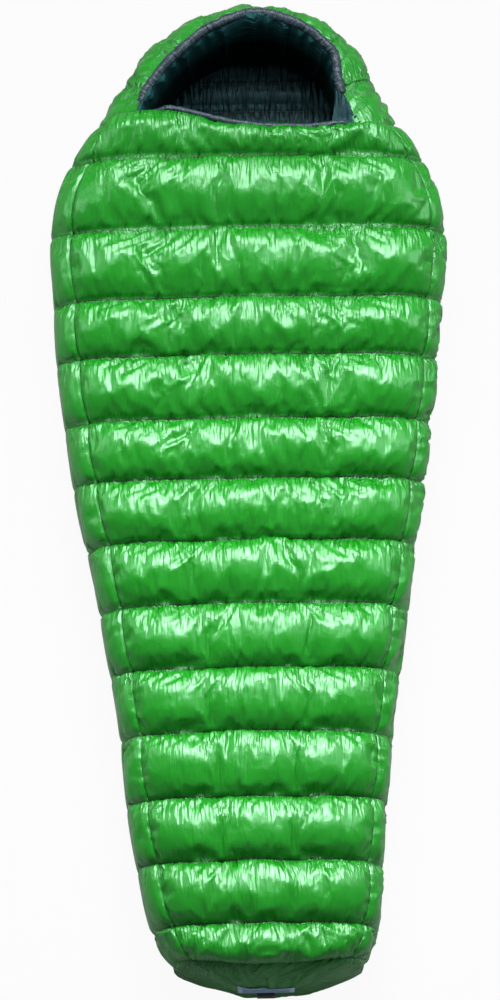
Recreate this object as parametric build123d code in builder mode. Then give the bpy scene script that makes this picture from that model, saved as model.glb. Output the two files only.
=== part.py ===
"""Mummy sleeping bag lying on its back: baffled tube, hood, side zip, foot end.

+Z up, +Y towards the head, +X on the zip side. The origin is the centre of the
footprint, on the surface that the bag rests on. Millimetres.
"""
import math
import os

from build123d import *

# ---- overall size ------------------------------------------------------------
LOFT_HEIGHT = 240.0  # height of the front panel above the floor
SHOULDER_RADIUS = 373.0  # plan radius of the shoulder curve
SHOULDER_CENTRE_X = 34.0
SHOULDER_CENTRE_Y = 529.5
LEG_TAPER = 6.9  # degrees by which each side runs in towards the feet

# ---- baffles -------------------------------------------------------------------
NECK_Y = 786.0  # head edge of the back and side panels
FRONT_NECK_Y = 774.0  # head edge of the front panel
YOKE_Y = 686.0  # first seam below the neck
SHOULDER_PITCH = 147.0
SHOULDER_COUNT = 2
LEG_PITCH = 131.0
LEG_COUNT = 10
TOE_PITCH = 72.0
WALL = 24.0  # shell to lining at the middle of a chamber
SKIN = 1.0  # thickness given to one layer of fabric
PILLOW = 10.0  # how far a seam is drawn in below the middle of its chamber

# ---- cross-section of one side: (distance in from the outline, height) ----------
FLOOR_SPLIT = 95.0  # seam between the back panel and a side panel
ZIP_Z = 100.0
ZIP_CHANNEL = 34.0  # height of the strip left free for the zip
SEAM_DROP = 35.0  # side seam, below the top of the front
SIDE_DROP = 105.0  # top of the upright part of each side, below the top of the front
SIDE_PROFILE = [
    (60.0, 0.0),
    (0.0, 70.0),
    (0.0, ZIP_Z - ZIP_CHANNEL / 2),
    (0.0, ZIP_Z + ZIP_CHANNEL / 2),
    (0.0, LOFT_HEIGHT - SIDE_DROP),
    (48.0, LOFT_HEIGHT - SEAM_DROP),
    (120.0, LOFT_HEIGHT),
]
FLOOR, LOW, CHANNEL_LOW, CHANNEL_HIGH, HIGH, SEAM, CROWN = range(7)

# ---- foot end ------------------------------------------------------------------------
CAP_LENGTH = 41.0
TOE_NARROWING = (8.8, 18.4, 36.1)  # in from the taper at the toe chamber's start, middle and end
CAP_NARROWING = (0.0, 4.0, 14.0)  # in from the toe's end at the cap's seam, half-way and outer face
CAP_DRAW = (PILLOW, 20.0, 32.0)  # how far the cap's section is drawn in at those three

# ---- folding part of the front --------------------------------------------------
FOLD_NECK_X = -235.0  # where the fold meets the neck
FOLD_ZIP_Y = -100.0  # where it meets the zip
FOLD_GAP = 0.8

# ---- hood -----------------------------------------------------------------------
HOOD_GAP = 0.8
HOOD_HEIGHT = 200.0
HOOD_CORNERS = [(32.8, 52.0), (64.8, 114.0), (114.8, 179.0), (192.8, 228.0), (266.8, 253.0)]  # in, headwards
HOOD_PROFILE = [(50.0, 0.0), (0.0, 60.0), (0.0, HOOD_HEIGHT - 70.0), (34.0, HOOD_HEIGHT)]
HOOD_FLOOR_SPLIT = 85.0
HEM_RADIUS = 8.0
HEM_WALL = 1.5
CORD_RADIUS = 2.2
CORD_CLEAR = 0.3
CORD_INSET = 2.0  # the cord stops this far inside the tunnel's ends
HEM_START = 60.0  # headwards from the neck to the tunnel's ends, beside the face opening
FACING_WIDTH = 46.0  # flared strip of lining fabric on the zip side of the opening
FACING_DROP = 13.0
FACING_THICK = 1.5
FACING_LENGTH = 22.0
FACING_CLEAR = 0.3
EYELET_RADIUS = 7.6
EYELET_BORE = 3.0
EYELET_LENGTH = 3.0

# ---- zip --------------------------------------------------------------------------
ZIP_DEPTH = 12.0  # tape's outer face, in from the outline
TAPE_THICK = 1.0
TAPE_REACH = 2.5  # the tape's free edge stops this far from the zip's centre line
COIL_THICK = 2.8
COIL_OUTER = 5.0  # a coil row spans from this ...
COIL_INNER = 0.6  # ... to this distance from the centre line
ZIP_TOP_ANGLE = 39.0  # degrees round the shoulder, where the zip ends
ZIP_FOOT_Y = -712.0
STOP_LENGTH = 4.0
STOP_CLEAR = 0.4
TOP_SLIDER_BACK = 2.2  # degrees from the zip's top end back to the closed slider
BOTTOM_SLIDER_UP = 36.0  # from the zip's foot end up to the closed slider
DRAFT_TOP_BACK = 26.0  # from the neck to the draft tube's head end
SLIDER_LENGTH = 15.0
SLIDER_WIDTH = 12.0
SLIDER_PLATE = 2.0
SLIDER_CLEAR = 0.8
SLIDER_FIN = 0.6
PULL_PIN_RADIUS = 1.0
PULL_LENGTH = 30.0
PULL_WIDTH = 8.0
PULL_THICK = 1.6
PULL_CLEAR = 0.3
PULL_EYE_WIDTH = 4.0
STOP_THICK = 3.4
BAIL_LENGTH = 4.0
BAIL_WIDTH = 1.4
BAIL_HEIGHT = 4.0
PIN_HEIGHT = 2.8  # pull pin's axis above the slider's outer plate
EYE_RADIUS = 2.4

# ---- draft tube behind the zip: inward from the lining, above the zip's centre line ------
DRAFT_PROFILE = [(26.0, -14.0), (26.0, 16.0), (18.0, 28.0), (6.0, 22.0), (3.0, -16.0)]
DRAFT_SEAM_CLEAR = 0.6
DRAFT_TOE = (10.0, -3.5)  # its lowest corner: inward from the lining, and from the seam

# ---- neck hem, label and loops ------------------------------------------------------
NECK_HEM_LENGTH = 9.0
NECK_HEM_PROUD = 0.8
LABEL_WIDTH = 116.0
LABEL_HEIGHT = 33.0
LABEL_X = 11.0
LABEL_Z = 138.0
LABEL_THICK = 0.8
LOOP_WIDTH = 36.0
LOOP_GAP = 5.6
LOOP_THICK = 1.2
LOOP_TOP_Z = 118.0
LOOP_LENGTH = 28.0
LOOP_CLEAR = 0.4

parts_made = {}


def write(name, builder):
    """Label a finished sub-part and write it as its own STEP file."""
    builder.part.label = name
    export_step(builder.part, f"parts/{name}.step")
    parts_made[name] = builder.part


# ---- plan outline and baffle stations ------------------------------------------------
taper = math.radians(LEG_TAPER)
taper_top_x = SHOULDER_CENTRE_X + SHOULDER_RADIUS * math.cos(taper)
taper_top_y = SHOULDER_CENTRE_Y - SHOULDER_RADIUS * math.sin(taper)


def side_x(y):
    """Half-width of the bag above the toes: shoulder arc, then straight taper."""
    if y < taper_top_y:
        return taper_top_x - (taper_top_y - y) * math.tan(taper)
    rise = y - SHOULDER_CENTRE_Y
    return SHOULDER_CENTRE_X + math.sqrt(SHOULDER_RADIUS**2 - rise**2)


def seam_stations(neck):
    """The y of each seam from the neck to the foot end."""
    seams = [neck, YOKE_Y]
    seams += [YOKE_Y - SHOULDER_PITCH * (i + 1) for i in range(SHOULDER_COUNT)]
    seams += [seams[-1] - LEG_PITCH * (i + 1) for i in range(LEG_COUNT)]
    return seams + [seams[-1] - TOE_PITCH]


def outline_knots(seams):
    """(y, half-width) at each seam and at the middle of each chamber."""
    knots = []
    for head, foot in zip(seams[:-2], seams[1:-1]):
        knots += [(head, side_x(head)), ((head + foot) / 2, side_x((head + foot) / 2))]
    toe = (seams[-2], (seams[-2] + seams[-1]) / 2, seams[-1])
    return knots + [(y, side_x(y) - narrowing) for y, narrowing in zip(toe, TOE_NARROWING)]


BODY_SEAMS = seam_stations(NECK_Y)
FRONT_SEAMS = seam_stations(FRONT_NECK_Y)
BODY_KNOTS = outline_knots(BODY_SEAMS)
CAP_HEAD_Y = BODY_SEAMS[-1]
FOOT_Y = CAP_HEAD_Y - CAP_LENGTH


def along(knots, y):
    """Value at y on a polyline whose knots run from head to foot."""
    for (y0, v0), (y1, v1) in zip(knots, knots[1:]):
        if y1 <= y <= y0:
            return v0 + (v1 - v0) * (y0 - y) / (y0 - y1)
    return knots[0][1] if y > knots[0][0] else knots[-1][1]


def half_width(y):
    return along(BODY_KNOTS, y)


def seam_draw(seams, y):
    """How far the outer skin is drawn in at y: PILLOW at a seam, none between seams."""
    for head, foot in zip(seams, seams[1:]):
        if foot <= y <= head:
            middle = (head + foot) / 2
            return PILLOW * abs(y - middle) / (head - middle)
    return PILLOW


# ---- profile geometry -------------------------------------------------------------------
def inward_normal(start, end):
    run = (end[0] - start[0], end[1] - start[1])
    size = math.hypot(*run)
    return (run[1] / size, -run[0] / size)


def line_meet(point, normal_a, depth_a, normal_b, depth_b):
    """Corner of two profile edges that pass through point once each has moved in."""
    det = normal_a[0] * normal_b[1] - normal_a[1] * normal_b[0]
    if abs(det) < 1e-9:
        return (point[0] + depth_a * normal_a[0], point[1] + depth_a * normal_a[1])
    shift_x = (depth_a * normal_b[1] - depth_b * normal_a[1]) / det
    shift_z = (normal_a[0] * depth_b - normal_b[0] * depth_a) / det
    return (point[0] + shift_x, point[1] + shift_z)


def profile_point(profile, index, depth, floor_depth):
    """Profile corner after its edges have moved in by depth, and the floor by floor_depth."""
    before = (0.0, 1.0) if index == 0 else inward_normal(profile[index - 1], profile[index])
    depth_before = floor_depth if index == 0 else depth
    if index == len(profile) - 1:
        after = (0.0, -1.0) if profile is SIDE_PROFILE else before
    else:
        after = inward_normal(profile[index], profile[index + 1])
    return line_meet(profile[index], before, depth_before, after, depth)


def strip_points(profile, first, last, outer, inner, split=None):
    """Closed outline in (inward, height) of a wall strip between two profile corners.

    outer and inner are depths. With split, the strip also runs along the floor
    to that distance in from the outline. outer also holds the drawn-in depth.
    """
    outer_depth, outer_floor = outer
    inner_depth, inner_floor = inner
    out = [profile_point(profile, i, outer_depth, outer_floor) for i in range(first, last + 1)]
    back = [profile_point(profile, i, inner_depth, inner_floor) for i in range(first, last + 1)]
    if split is not None:
        out.insert(0, (split, outer_floor))
        back.insert(0, (split, inner_floor))
    return out + back[::-1]


def cross_plane(y):
    """Plane across the bag at y, with its own x along +X and its y upwards."""
    return Plane(origin=(0, y, 0), x_dir=(1, 0, 0), z_dir=(0, -1, 0))


def face_on(plane, points):
    """One closed face on a plane, as a section for a loft."""
    with BuildSketch(plane) as section:
        with BuildLine():
            Polyline(*points, close=True)
        make_face()
    return section.sketch.face()


def side_face(y, side, first, last, outer, inner, split=None):
    """Section of a side strip at y; side is -1 or 1."""
    strip = strip_points(SIDE_PROFILE, first, last, outer, inner, split)
    return face_on(cross_plane(y), [(side * (half_width(y) - d), z) for d, z in strip])


def top_face(y, outer, inner):
    """Section of the front panel at y, from one side seam over to the other."""
    width = half_width(y)
    over = [profile_point(SIDE_PROFILE, i, outer, 0) for i in (SEAM, CROWN)]
    under = [profile_point(SIDE_PROFILE, i, inner, 0) for i in (CROWN, SEAM)]
    left = [(-(width - d), z) for d, z in over]
    right = [(width - d, z) for d, z in reversed(over)]
    right_under = [(width - d, z) for d, z in reversed(under)]
    left_under = [(-(width - d), z) for d, z in under]
    return face_on(cross_plane(y), left + right + right_under + left_under)


def floor_face(y, low, high):
    """Section of the back panel at y."""
    reach = half_width(y) - FLOOR_SPLIT
    return face_on(cross_plane(y), [(-reach, low), (reach, low), (reach, high), (-reach, high)])


LAYERS = {"shell": (0.0, SKIN), "fill": (SKIN, WALL - SKIN), "lining": (WALL - SKIN, WALL)}


def layer_depths(layer, seams, y):
    """Outer and inner depth of a layer at y; only the outer skin follows the seams."""
    outer, inner = LAYERS[layer]
    draw = seam_draw(seams, y)
    if layer == "shell":
        return outer + draw, inner + draw
    if layer == "fill":
        return outer + draw, inner
    return outer, inner


def chamber_spans(seams):
    """(head, middle, foot) of each chamber, leaving room for the baffle walls."""
    spans = []
    for head, foot in zip(seams, seams[1:]):
        top = head if head == seams[0] else head - SKIN / 2
        bottom = foot if foot == seams[-1] else foot + SKIN / 2
        spans.append((top, (head + foot) / 2, bottom))
    return spans


def skin_stations(seams):
    """Every seam and chamber middle, from head to foot."""
    stations = []
    for head, foot in zip(seams, seams[1:]):
        stations += [head, (head + foot) / 2]
    return stations + [seams[-1]]


def side_layer(layer, side, first, last, seams, split=None):
    """Loft one layer of a side strip: fill per chamber, skins in one run."""
    runs = chamber_spans(seams) if layer == "fill" else [skin_stations(seams)]
    low, high = LAYERS[layer]
    for run in runs:
        faces = []
        for y in run:
            outer, inner = layer_depths(layer, seams, y)
            faces.append(side_face(y, side, first, last, (outer, low), (inner, high), split))
        loft(faces, ruled=True)


def top_layer(layer, seams):
    runs = chamber_spans(seams) if layer == "fill" else [skin_stations(seams)]
    for run in runs:
        loft([top_face(y, *layer_depths(layer, seams, y)) for y in run], ruled=True)


def floor_layer(layer, seams):
    runs = chamber_spans(seams) if layer == "fill" else [skin_stations(seams)]
    low, high = LAYERS[layer]
    for run in runs:
        loft([floor_face(y, low, high) for y in run], ruled=True)


def wall_stations(seams):
    """Head face, seam line and foot face of the baffle wall at each inner seam."""
    return [(y + SKIN / 2, y, y - SKIN / 2) for y in seams[1:-1]]


# ---- fold plane between the fixed and the folding part of the front -----------------
fold_neck = Vector(FOLD_NECK_X, NECK_Y, 0)
fold_zip = Vector(side_x(FOLD_ZIP_Y), FOLD_ZIP_Y, 0)
fold_run = (fold_zip - fold_neck).normalized()
fold_out = Vector(-fold_run.Y, fold_run.X, 0)
fold_plane = Plane(origin=fold_neck, x_dir=fold_run, z_dir=fold_out)
FLAP_SIDE = (fold_plane.offset(FOLD_GAP / 2), Keep.TOP)
FIXED_SIDE = (fold_plane.offset(-FOLD_GAP / 2), Keep.BOTTOM)

os.makedirs("parts", exist_ok=True)

# ---- front panel: the fixed part, and the flap that folds back ------------------------
for name, (cut, keep) in {"front": FIXED_SIDE, "flap": FLAP_SIDE}.items():
    for layer in ("shell", "fill", "lining"):
        with BuildPart() as panel:
            top_layer(layer, FRONT_SEAMS)
            split(bisect_by=cut, keep=keep)
        write(f"{name}_{layer}", panel)
        with BuildPart() as side_panel:
            side_layer(layer, 1, CHANNEL_HIGH, SEAM, FRONT_SEAMS)
            split(bisect_by=cut, keep=keep)
        write(f"{name}_side_{layer}", side_panel)
    with BuildPart() as walls:
        for run in wall_stations(FRONT_SEAMS):
            loft([top_face(y, *layer_depths("fill", FRONT_SEAMS, y)) for y in run], ruled=True)
        split(bisect_by=cut, keep=keep)
    write(f"{name}_baffle_walls", walls)

# ---- back panel and the two sides -----------------------------------------------------
for layer in ("shell", "fill", "lining"):
    with BuildPart() as back:
        floor_layer(layer, BODY_SEAMS)
    write(f"back_{layer}", back)
    with BuildPart() as left_side:
        side_layer(layer, -1, FLOOR, SEAM, BODY_SEAMS, FLOOR_SPLIT)
    write(f"left_side_{layer}", left_side)
    with BuildPart() as right_side:
        side_layer(layer, 1, FLOOR, CHANNEL_LOW, BODY_SEAMS, FLOOR_SPLIT)
    write(f"right_side_{layer}", right_side)
with BuildPart() as back_walls:
    for run in wall_stations(BODY_SEAMS):
        loft([floor_face(y, SKIN, WALL - SKIN) for y in run], ruled=True)
write("back_baffle_walls", back_walls)

# ---- closed side below the zip ---------------------------------------------------------
with BuildPart() as below_zip:
    start = ZIP_FOOT_Y - STOP_LENGTH
    depths = ((0.0, 0.0), (WALL, WALL))
    stops = [start] + [y for y in skin_stations(BODY_SEAMS) if y < start]
    loft([side_face(y, 1, CHANNEL_LOW, CHANNEL_HIGH, *depths) for y in stops], ruled=True)
write("side_panel_below_zip", below_zip)

# ---- foot end: a closed cap ---------------------------------------------------------------
CAP_STATIONS = (CAP_HEAD_Y, (CAP_HEAD_Y + FOOT_Y) / 2, FOOT_Y)
CAP_WIDTH_KNOTS = [(y, BODY_KNOTS[-1][1] - n) for y, n in zip(CAP_STATIONS, CAP_NARROWING)]
CAP_DRAW_KNOTS = list(zip(CAP_STATIONS, CAP_DRAW))


def cap_face(y, depth):
    """Whole section of the foot end at y, depth in from its skin."""
    width = along(CAP_WIDTH_KNOTS, y)
    drawn = along(CAP_DRAW_KNOTS, y) + depth
    corners = [profile_point(SIDE_PROFILE, i, drawn, depth) for i in range(len(SIDE_PROFILE))]
    right = [(width - d, z) for d, z in corners]
    left = [(-x, z) for x, z in reversed(right)]
    return face_on(cross_plane(y), right + left)


cap_inner = (CAP_HEAD_Y, CAP_STATIONS[1], FOOT_Y + SKIN)
with BuildPart() as cap_shell:
    loft([cap_face(y, 0.0) for y in CAP_STATIONS], ruled=True)
    loft([cap_face(y, SKIN) for y in cap_inner], ruled=True, mode=Mode.SUBTRACT)
write("foot_end_shell", cap_shell)
cap_filled = (CAP_HEAD_Y - SKIN, CAP_STATIONS[1], FOOT_Y + SKIN)
with BuildPart() as cap_fill:
    loft([cap_face(y, SKIN) for y in cap_filled], ruled=True)
write("foot_end_fill", cap_fill)
with BuildPart() as cap_lining:
    loft([cap_face(y, SKIN) for y in (CAP_HEAD_Y, CAP_HEAD_Y - SKIN)], ruled=True)
write("foot_end_lining", cap_lining)

# ---- hood: a wall of mitred segments round a flat floor -----------------------------------
hood_base_y = NECK_Y + HOOD_GAP
neck_x = side_x(NECK_Y)
hood_right = [(neck_x, hood_base_y)] + [(neck_x - inset, NECK_Y + rise) for inset, rise in HOOD_CORNERS]
hood_outline = hood_right + [(-x, y) for x, y in reversed(hood_right)]
hood_runs = []
for (x0, y0), (x1, y1) in zip(hood_outline, hood_outline[1:]):
    hood_runs.append(Vector(x1 - x0, y1 - y0, 0).normalized())


def inward(run):
    return Vector(-run.Y, run.X, 0)


def hood_mitre(index):
    """Horizontal move at an outline corner that carries both walls in by one unit."""
    if index in (0, len(hood_outline) - 1):
        return Vector(1 / inward(hood_runs[0 if index == 0 else -1]).X, 0, 0)
    before = inward(hood_runs[index - 1])
    after = inward(hood_runs[index])
    return (before + after) * (1 / (1 + before.dot(after)))


def hood_face(index, points, shift=None):
    """A wall section, given as (inward, height), on the mitre plane of a corner."""
    mitre = hood_mitre(index)
    corner = Vector(*hood_outline[index], 0) + (shift or Vector(0, 0, 0))
    plane = Plane(origin=corner, x_dir=mitre, z_dir=mitre.cross(Vector(0, 0, 1)))
    return face_on(plane, [(d * mitre.length, z) for d, z in points])


def hood_strip(layer):
    low, high = LAYERS[layer]
    last = len(HOOD_PROFILE) - 1
    return strip_points(HOOD_PROFILE, 0, last, (low, low), (high, high), HOOD_FLOOR_SPLIT)


corner_ids = range(len(hood_outline))
for layer in ("shell", "lining"):
    with BuildPart() as hood_skin:
        loft([hood_face(i, hood_strip(layer)) for i in corner_ids], ruled=True)
    write(f"hood_{layer}", hood_skin)
with BuildPart() as hood_fill:
    for i in corner_ids[:-1]:
        run = hood_runs[i]
        start = run * (SKIN / 2 if i > 0 else 0)
        end = run * (-SKIN / 2 if i < len(hood_runs) - 1 else 0)
        loft([hood_face(i, hood_strip("fill"), start), hood_face(i + 1, hood_strip("fill"), end)], ruled=True)
write("hood_fill", hood_fill)
with BuildPart() as hood_walls:
    for i in corner_ids[1:-1]:
        moves = (hood_runs[i - 1] * (-SKIN / 2), None, hood_runs[i] * (SKIN / 2))
        loft([hood_face(i, hood_strip("fill"), move) for move in moves], ruled=True)
write("hood_baffle_walls", hood_walls)

hood_floor_outline = []
for i in corner_ids:
    edge = Vector(*hood_outline[i], 0) + hood_mitre(i) * HOOD_FLOOR_SPLIT
    hood_floor_outline.append((edge.X, edge.Y))
for layer, (low, high) in LAYERS.items():
    with BuildPart() as hood_floor:
        with BuildSketch(Plane.XY.offset(low)):
            with BuildLine():
                Polyline(*hood_floor_outline, close=True)
            make_face()
        extrude(amount=high - low)
    write(f"hood_floor_{layer}", hood_floor)

# ---- hem tunnel round the face opening, with its drawcord ------------------------------------
rim_run = (HOOD_PROFILE[-1][0] - HOOD_PROFILE[-2][0], HOOD_PROFILE[-1][1] - HOOD_PROFILE[-2][1])
rim_angle = math.atan2(rim_run[1], rim_run[0])
rim_out = (math.cos(rim_angle), math.sin(rim_angle))
rim_in = (rim_out[1], -rim_out[0])
HEM_FLAT = math.cos(math.pi / 8)  # flat-to-centre over corner-to-centre of an octagon


def rim_spot(across, out):
    """A place beside the rim: across the wall from its outer face, and out from its edge."""
    end = HOOD_PROFILE[-1]
    return (end[0] + rim_in[0] * across + rim_out[0] * out, end[1] + rim_in[1] * across + rim_out[1] * out)


hem_centre = rim_spot(WALL / 2, HEM_RADIUS * HEM_FLAT)


def hem_ring(centre, radius, sides=8):
    """Corners of a regular polygon that has one flat towards the rim."""
    turns = [rim_angle + math.pi / sides + 2 * math.pi * i / sides for i in range(sides)]
    return [(centre[0] + radius * math.cos(a), centre[1] + radius * math.sin(a)) for a in turns]


def edge_spot(index, y):
    """Where the outline's run after a corner crosses y."""
    run = hood_runs[index]
    return Vector(*hood_outline[index], 0) + run * ((y - hood_outline[index][1]) / run.Y)


def cross_face(spot, run, points):
    """A wall section, given as (inward, height), on the plane across the bag at a spot."""
    across = 1 / inward(run).X
    return face_on(cross_plane(spot.Y), [(spot.X + d * across, z) for d, z in points])


def hem_faces(points, inset=0.0):
    """Sections of the tunnel from one side of the face opening round to the other."""
    y = NECK_Y + HEM_START + inset
    ends = [(edge_spot(i, y), hood_runs[i]) for i in (1, len(hood_runs) - 2)]
    inner = [hood_face(i, points) for i in corner_ids[2:-2]]
    return [cross_face(*ends[0], points)] + inner + [cross_face(*ends[1], points)]


with BuildPart() as hem:
    loft(hem_faces(hem_ring(hem_centre, HEM_RADIUS)), ruled=True)
    loft(hem_faces(hem_ring(hem_centre, HEM_RADIUS - HEM_WALL)), ruled=True, mode=Mode.SUBTRACT)
write("hood_hem_tunnel", hem)
cord_out = (HEM_RADIUS - HEM_WALL) * HEM_FLAT - CORD_RADIUS - CORD_CLEAR
cord_centre = (hem_centre[0] + rim_out[0] * cord_out, hem_centre[1] + rim_out[1] * cord_out)
with BuildPart() as cord:
    loft(hem_faces(hem_ring(cord_centre, CORD_RADIUS), CORD_INSET), ruled=True)
write("hood_drawcord", cord)

hem_end_y = NECK_Y + HEM_START
hem_end_x = edge_spot(1, hem_end_y).X + hem_centre[0] / inward(hood_runs[1]).X
eyelet_plane = Plane(origin=(hem_end_x, hem_end_y, hem_centre[1]), x_dir=(1, 0, 0), z_dir=(0, -1, 0))
with BuildPart() as eyelet:
    with BuildSketch(eyelet_plane):
        Circle(EYELET_RADIUS)
        Circle(EYELET_BORE, mode=Mode.SUBTRACT)
    extrude(amount=EYELET_LENGTH)
write("drawcord_eyelet", eyelet)

facing_top = rim_spot(WALL + FACING_CLEAR, 0)
facing = [
    facing_top,
    (facing_top[0] + FACING_WIDTH, facing_top[1] - FACING_DROP),
    (facing_top[0] + FACING_WIDTH, facing_top[1] - FACING_DROP - FACING_THICK),
    (facing_top[0], facing_top[1] - FACING_THICK),
]
with BuildPart() as neck_facing:
    spots = [edge_spot(0, y) for y in (hood_base_y, NECK_Y + FACING_LENGTH)]
    loft([cross_face(spot, hood_runs[0], facing) for spot in spots], ruled=True)
write("neck_facing", neck_facing)

# ---- hem along the front panel's neck edge ------------------------------------------------------
for name, (cut, keep) in {"front": FIXED_SIDE, "flap": FLAP_SIDE}.items():
    with BuildPart() as neck_hem:
        ends = (FRONT_NECK_Y + NECK_HEM_LENGTH, FRONT_NECK_Y)
        loft([top_face(y, PILLOW - NECK_HEM_PROUD, WALL) for y in ends], ruled=True)
        split(bisect_by=cut, keep=keep)
    write(f"{name}_neck_hem", neck_hem)

# ---- zip: round the shoulder, then straight down the side ------------------------------------------
shoulder_axis = Axis((SHOULDER_CENTRE_X, SHOULDER_CENTRE_Y, 0), (0, 0, 1))


def zip_plane(angle):
    """Plane across the zip at an angle round the shoulder: x outwards, y up, z footwards."""
    out = Vector(math.cos(angle), math.sin(angle), 0)
    centre = (SHOULDER_CENTRE_X, SHOULDER_CENTRE_Y, 0)
    return Plane(origin=centre, x_dir=out, z_dir=out.cross(Vector(0, 0, 1)))


straight_plane = zip_plane(-taper)
straight_run = straight_plane.z_dir


def zip_strip(depths, heights, top_angle=ZIP_TOP_ANGLE, foot_y=ZIP_FOOT_Y):
    """A strip of constant section along the whole zip; depths are in from the outline."""
    outer, inner = depths
    low, high = heights
    near = SHOULDER_RADIUS - inner
    far = SHOULDER_RADIUS - outer
    face = face_on(straight_plane, [(near, low), (far, low), (far, high), (near, high)])
    revolve(face, axis=shoulder_axis, revolution_arc=top_angle + LEG_TAPER)
    extrude(face, amount=(taper_top_y - foot_y) / math.cos(taper), dir=straight_run)


TAPE_DEPTHS = (ZIP_DEPTH, ZIP_DEPTH + TAPE_THICK)
COIL_DEPTHS = (ZIP_DEPTH - COIL_THICK, ZIP_DEPTH)
LOW_EDGE = ZIP_Z - ZIP_CHANNEL / 2
HIGH_EDGE = ZIP_Z + ZIP_CHANNEL / 2
with BuildPart() as back_tape:
    zip_strip(TAPE_DEPTHS, (LOW_EDGE, ZIP_Z - TAPE_REACH))
write("zip_tape_back", back_tape)
with BuildPart() as back_coil:
    zip_strip(COIL_DEPTHS, (ZIP_Z - COIL_OUTER, ZIP_Z - COIL_INNER))
write("zip_coil_back", back_coil)
for name, (cut, keep) in {"front": FIXED_SIDE, "flap": FLAP_SIDE}.items():
    with BuildPart() as front_tape:
        zip_strip(TAPE_DEPTHS, (ZIP_Z + TAPE_REACH, HIGH_EDGE))
        split(bisect_by=cut, keep=keep)
    write(f"zip_tape_{name}", front_tape)
    with BuildPart() as front_coil:
        zip_strip(COIL_DEPTHS, (ZIP_Z + COIL_INNER, ZIP_Z + COIL_OUTER))
        split(bisect_by=cut, keep=keep)
    write(f"zip_coil_{name}", front_coil)

top_plane = zip_plane(math.radians(ZIP_TOP_ANGLE))
STOP_DEPTHS = (ZIP_DEPTH - STOP_THICK, ZIP_DEPTH)
for name, side in {"back": -1, "flap": 1}.items():
    heights = (ZIP_Z + side * COIL_INNER, ZIP_Z + side * COIL_OUTER)
    with BuildPart() as top_stop:
        outer, inner = STOP_DEPTHS
        near = SHOULDER_RADIUS - inner
        far = SHOULDER_RADIUS - outer
        corners = [(near, heights[0]), (far, heights[0]), (far, heights[1]), (near, heights[1])]
        extrude(face_on(top_plane, corners), amount=-STOP_LENGTH)
    write(f"zip_top_stop_{name}", top_stop)
zip_foot = straight_plane.origin + straight_run * ((taper_top_y - ZIP_FOOT_Y) / math.cos(taper))
foot_plane = Plane(origin=zip_foot, x_dir=straight_plane.x_dir, z_dir=straight_run)
with BuildPart() as bottom_stop:
    outer, inner = STOP_DEPTHS
    near = SHOULDER_RADIUS - inner
    far = SHOULDER_RADIUS - outer
    corners = [(near, ZIP_Z - COIL_OUTER), (far, ZIP_Z - COIL_OUTER)]
    corners += [(far, ZIP_Z + COIL_OUTER), (near, ZIP_Z + COIL_OUTER)]
    extrude(face_on(foot_plane, corners), amount=STOP_LENGTH - STOP_CLEAR)
write("zip_bottom_stop", bottom_stop)


# ---- sliders and their pulls ---------------------------------------------------------------------------
plate_low = SHOULDER_RADIUS - COIL_DEPTHS[0] + SLIDER_CLEAR  # outer plate's inner face
plate_high = plate_low + SLIDER_PLATE
back_plate_high = SHOULDER_RADIUS - TAPE_DEPTHS[1] - SLIDER_CLEAR
back_plate_low = back_plate_high - SLIDER_PLATE
pin_out = plate_high + PIN_HEIGHT


def slider_frame(plane, along_zip):
    """The slider's own plane at a place along the zip: x outwards, y up, z footwards."""
    return Plane(origin=plane.origin + plane.z_dir * along_zip, x_dir=plane.x_dir, z_dir=plane.z_dir)


def block(plane, out_span, up_span, foot_span, mode=Mode.ADD):
    """A box in a slider's plane, spanning outwards, upwards and footwards."""
    low, high = out_span
    bottom, top = up_span
    start, end = foot_span
    face = face_on(plane.offset(start), [(low, bottom), (high, bottom), (high, top), (low, top)])
    extrude(face, amount=end - start, mode=mode)


def slider(plane):
    """Two plates joined by a fin that runs between the coils, with a bail for the pull."""
    half = SLIDER_LENGTH / 2
    width = (ZIP_Z - SLIDER_WIDTH / 2, ZIP_Z + SLIDER_WIDTH / 2)
    fin = (ZIP_Z - SLIDER_FIN / 2, ZIP_Z + SLIDER_FIN / 2)
    block(plane, (plate_low, plate_high), width, (-half, half))
    block(plane, (back_plate_low, back_plate_high), width, (-half, half))
    block(plane, (back_plate_high, plate_low), fin, (-half, -half + SLIDER_LENGTH / 3))
    for side in (-1, 1):
        inner = ZIP_Z + side * (PULL_EYE_WIDTH / 2 + PULL_CLEAR)
        post = tuple(sorted((inner, inner + side * BAIL_WIDTH)))
        block(plane, (plate_high, plate_high + BAIL_HEIGHT), post, (-BAIL_LENGTH / 2, BAIL_LENGTH / 2))
    pin_reach = PULL_EYE_WIDTH / 2 + PULL_CLEAR + BAIL_WIDTH / 2
    extrude(pin_circle(plane, PULL_PIN_RADIUS, ZIP_Z - pin_reach), amount=2 * pin_reach)


def pin_circle(plane, radius, height):
    """A circle round the pull's pin, facing up, at a height above the floor."""
    centre = plane.origin + plane.x_dir * pin_out
    with BuildSketch(Plane(origin=(centre.X, centre.Y, height), x_dir=plane.x_dir, z_dir=(0, 0, 1))) as ring:
        Circle(radius)
    return ring.sketch.face()


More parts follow.
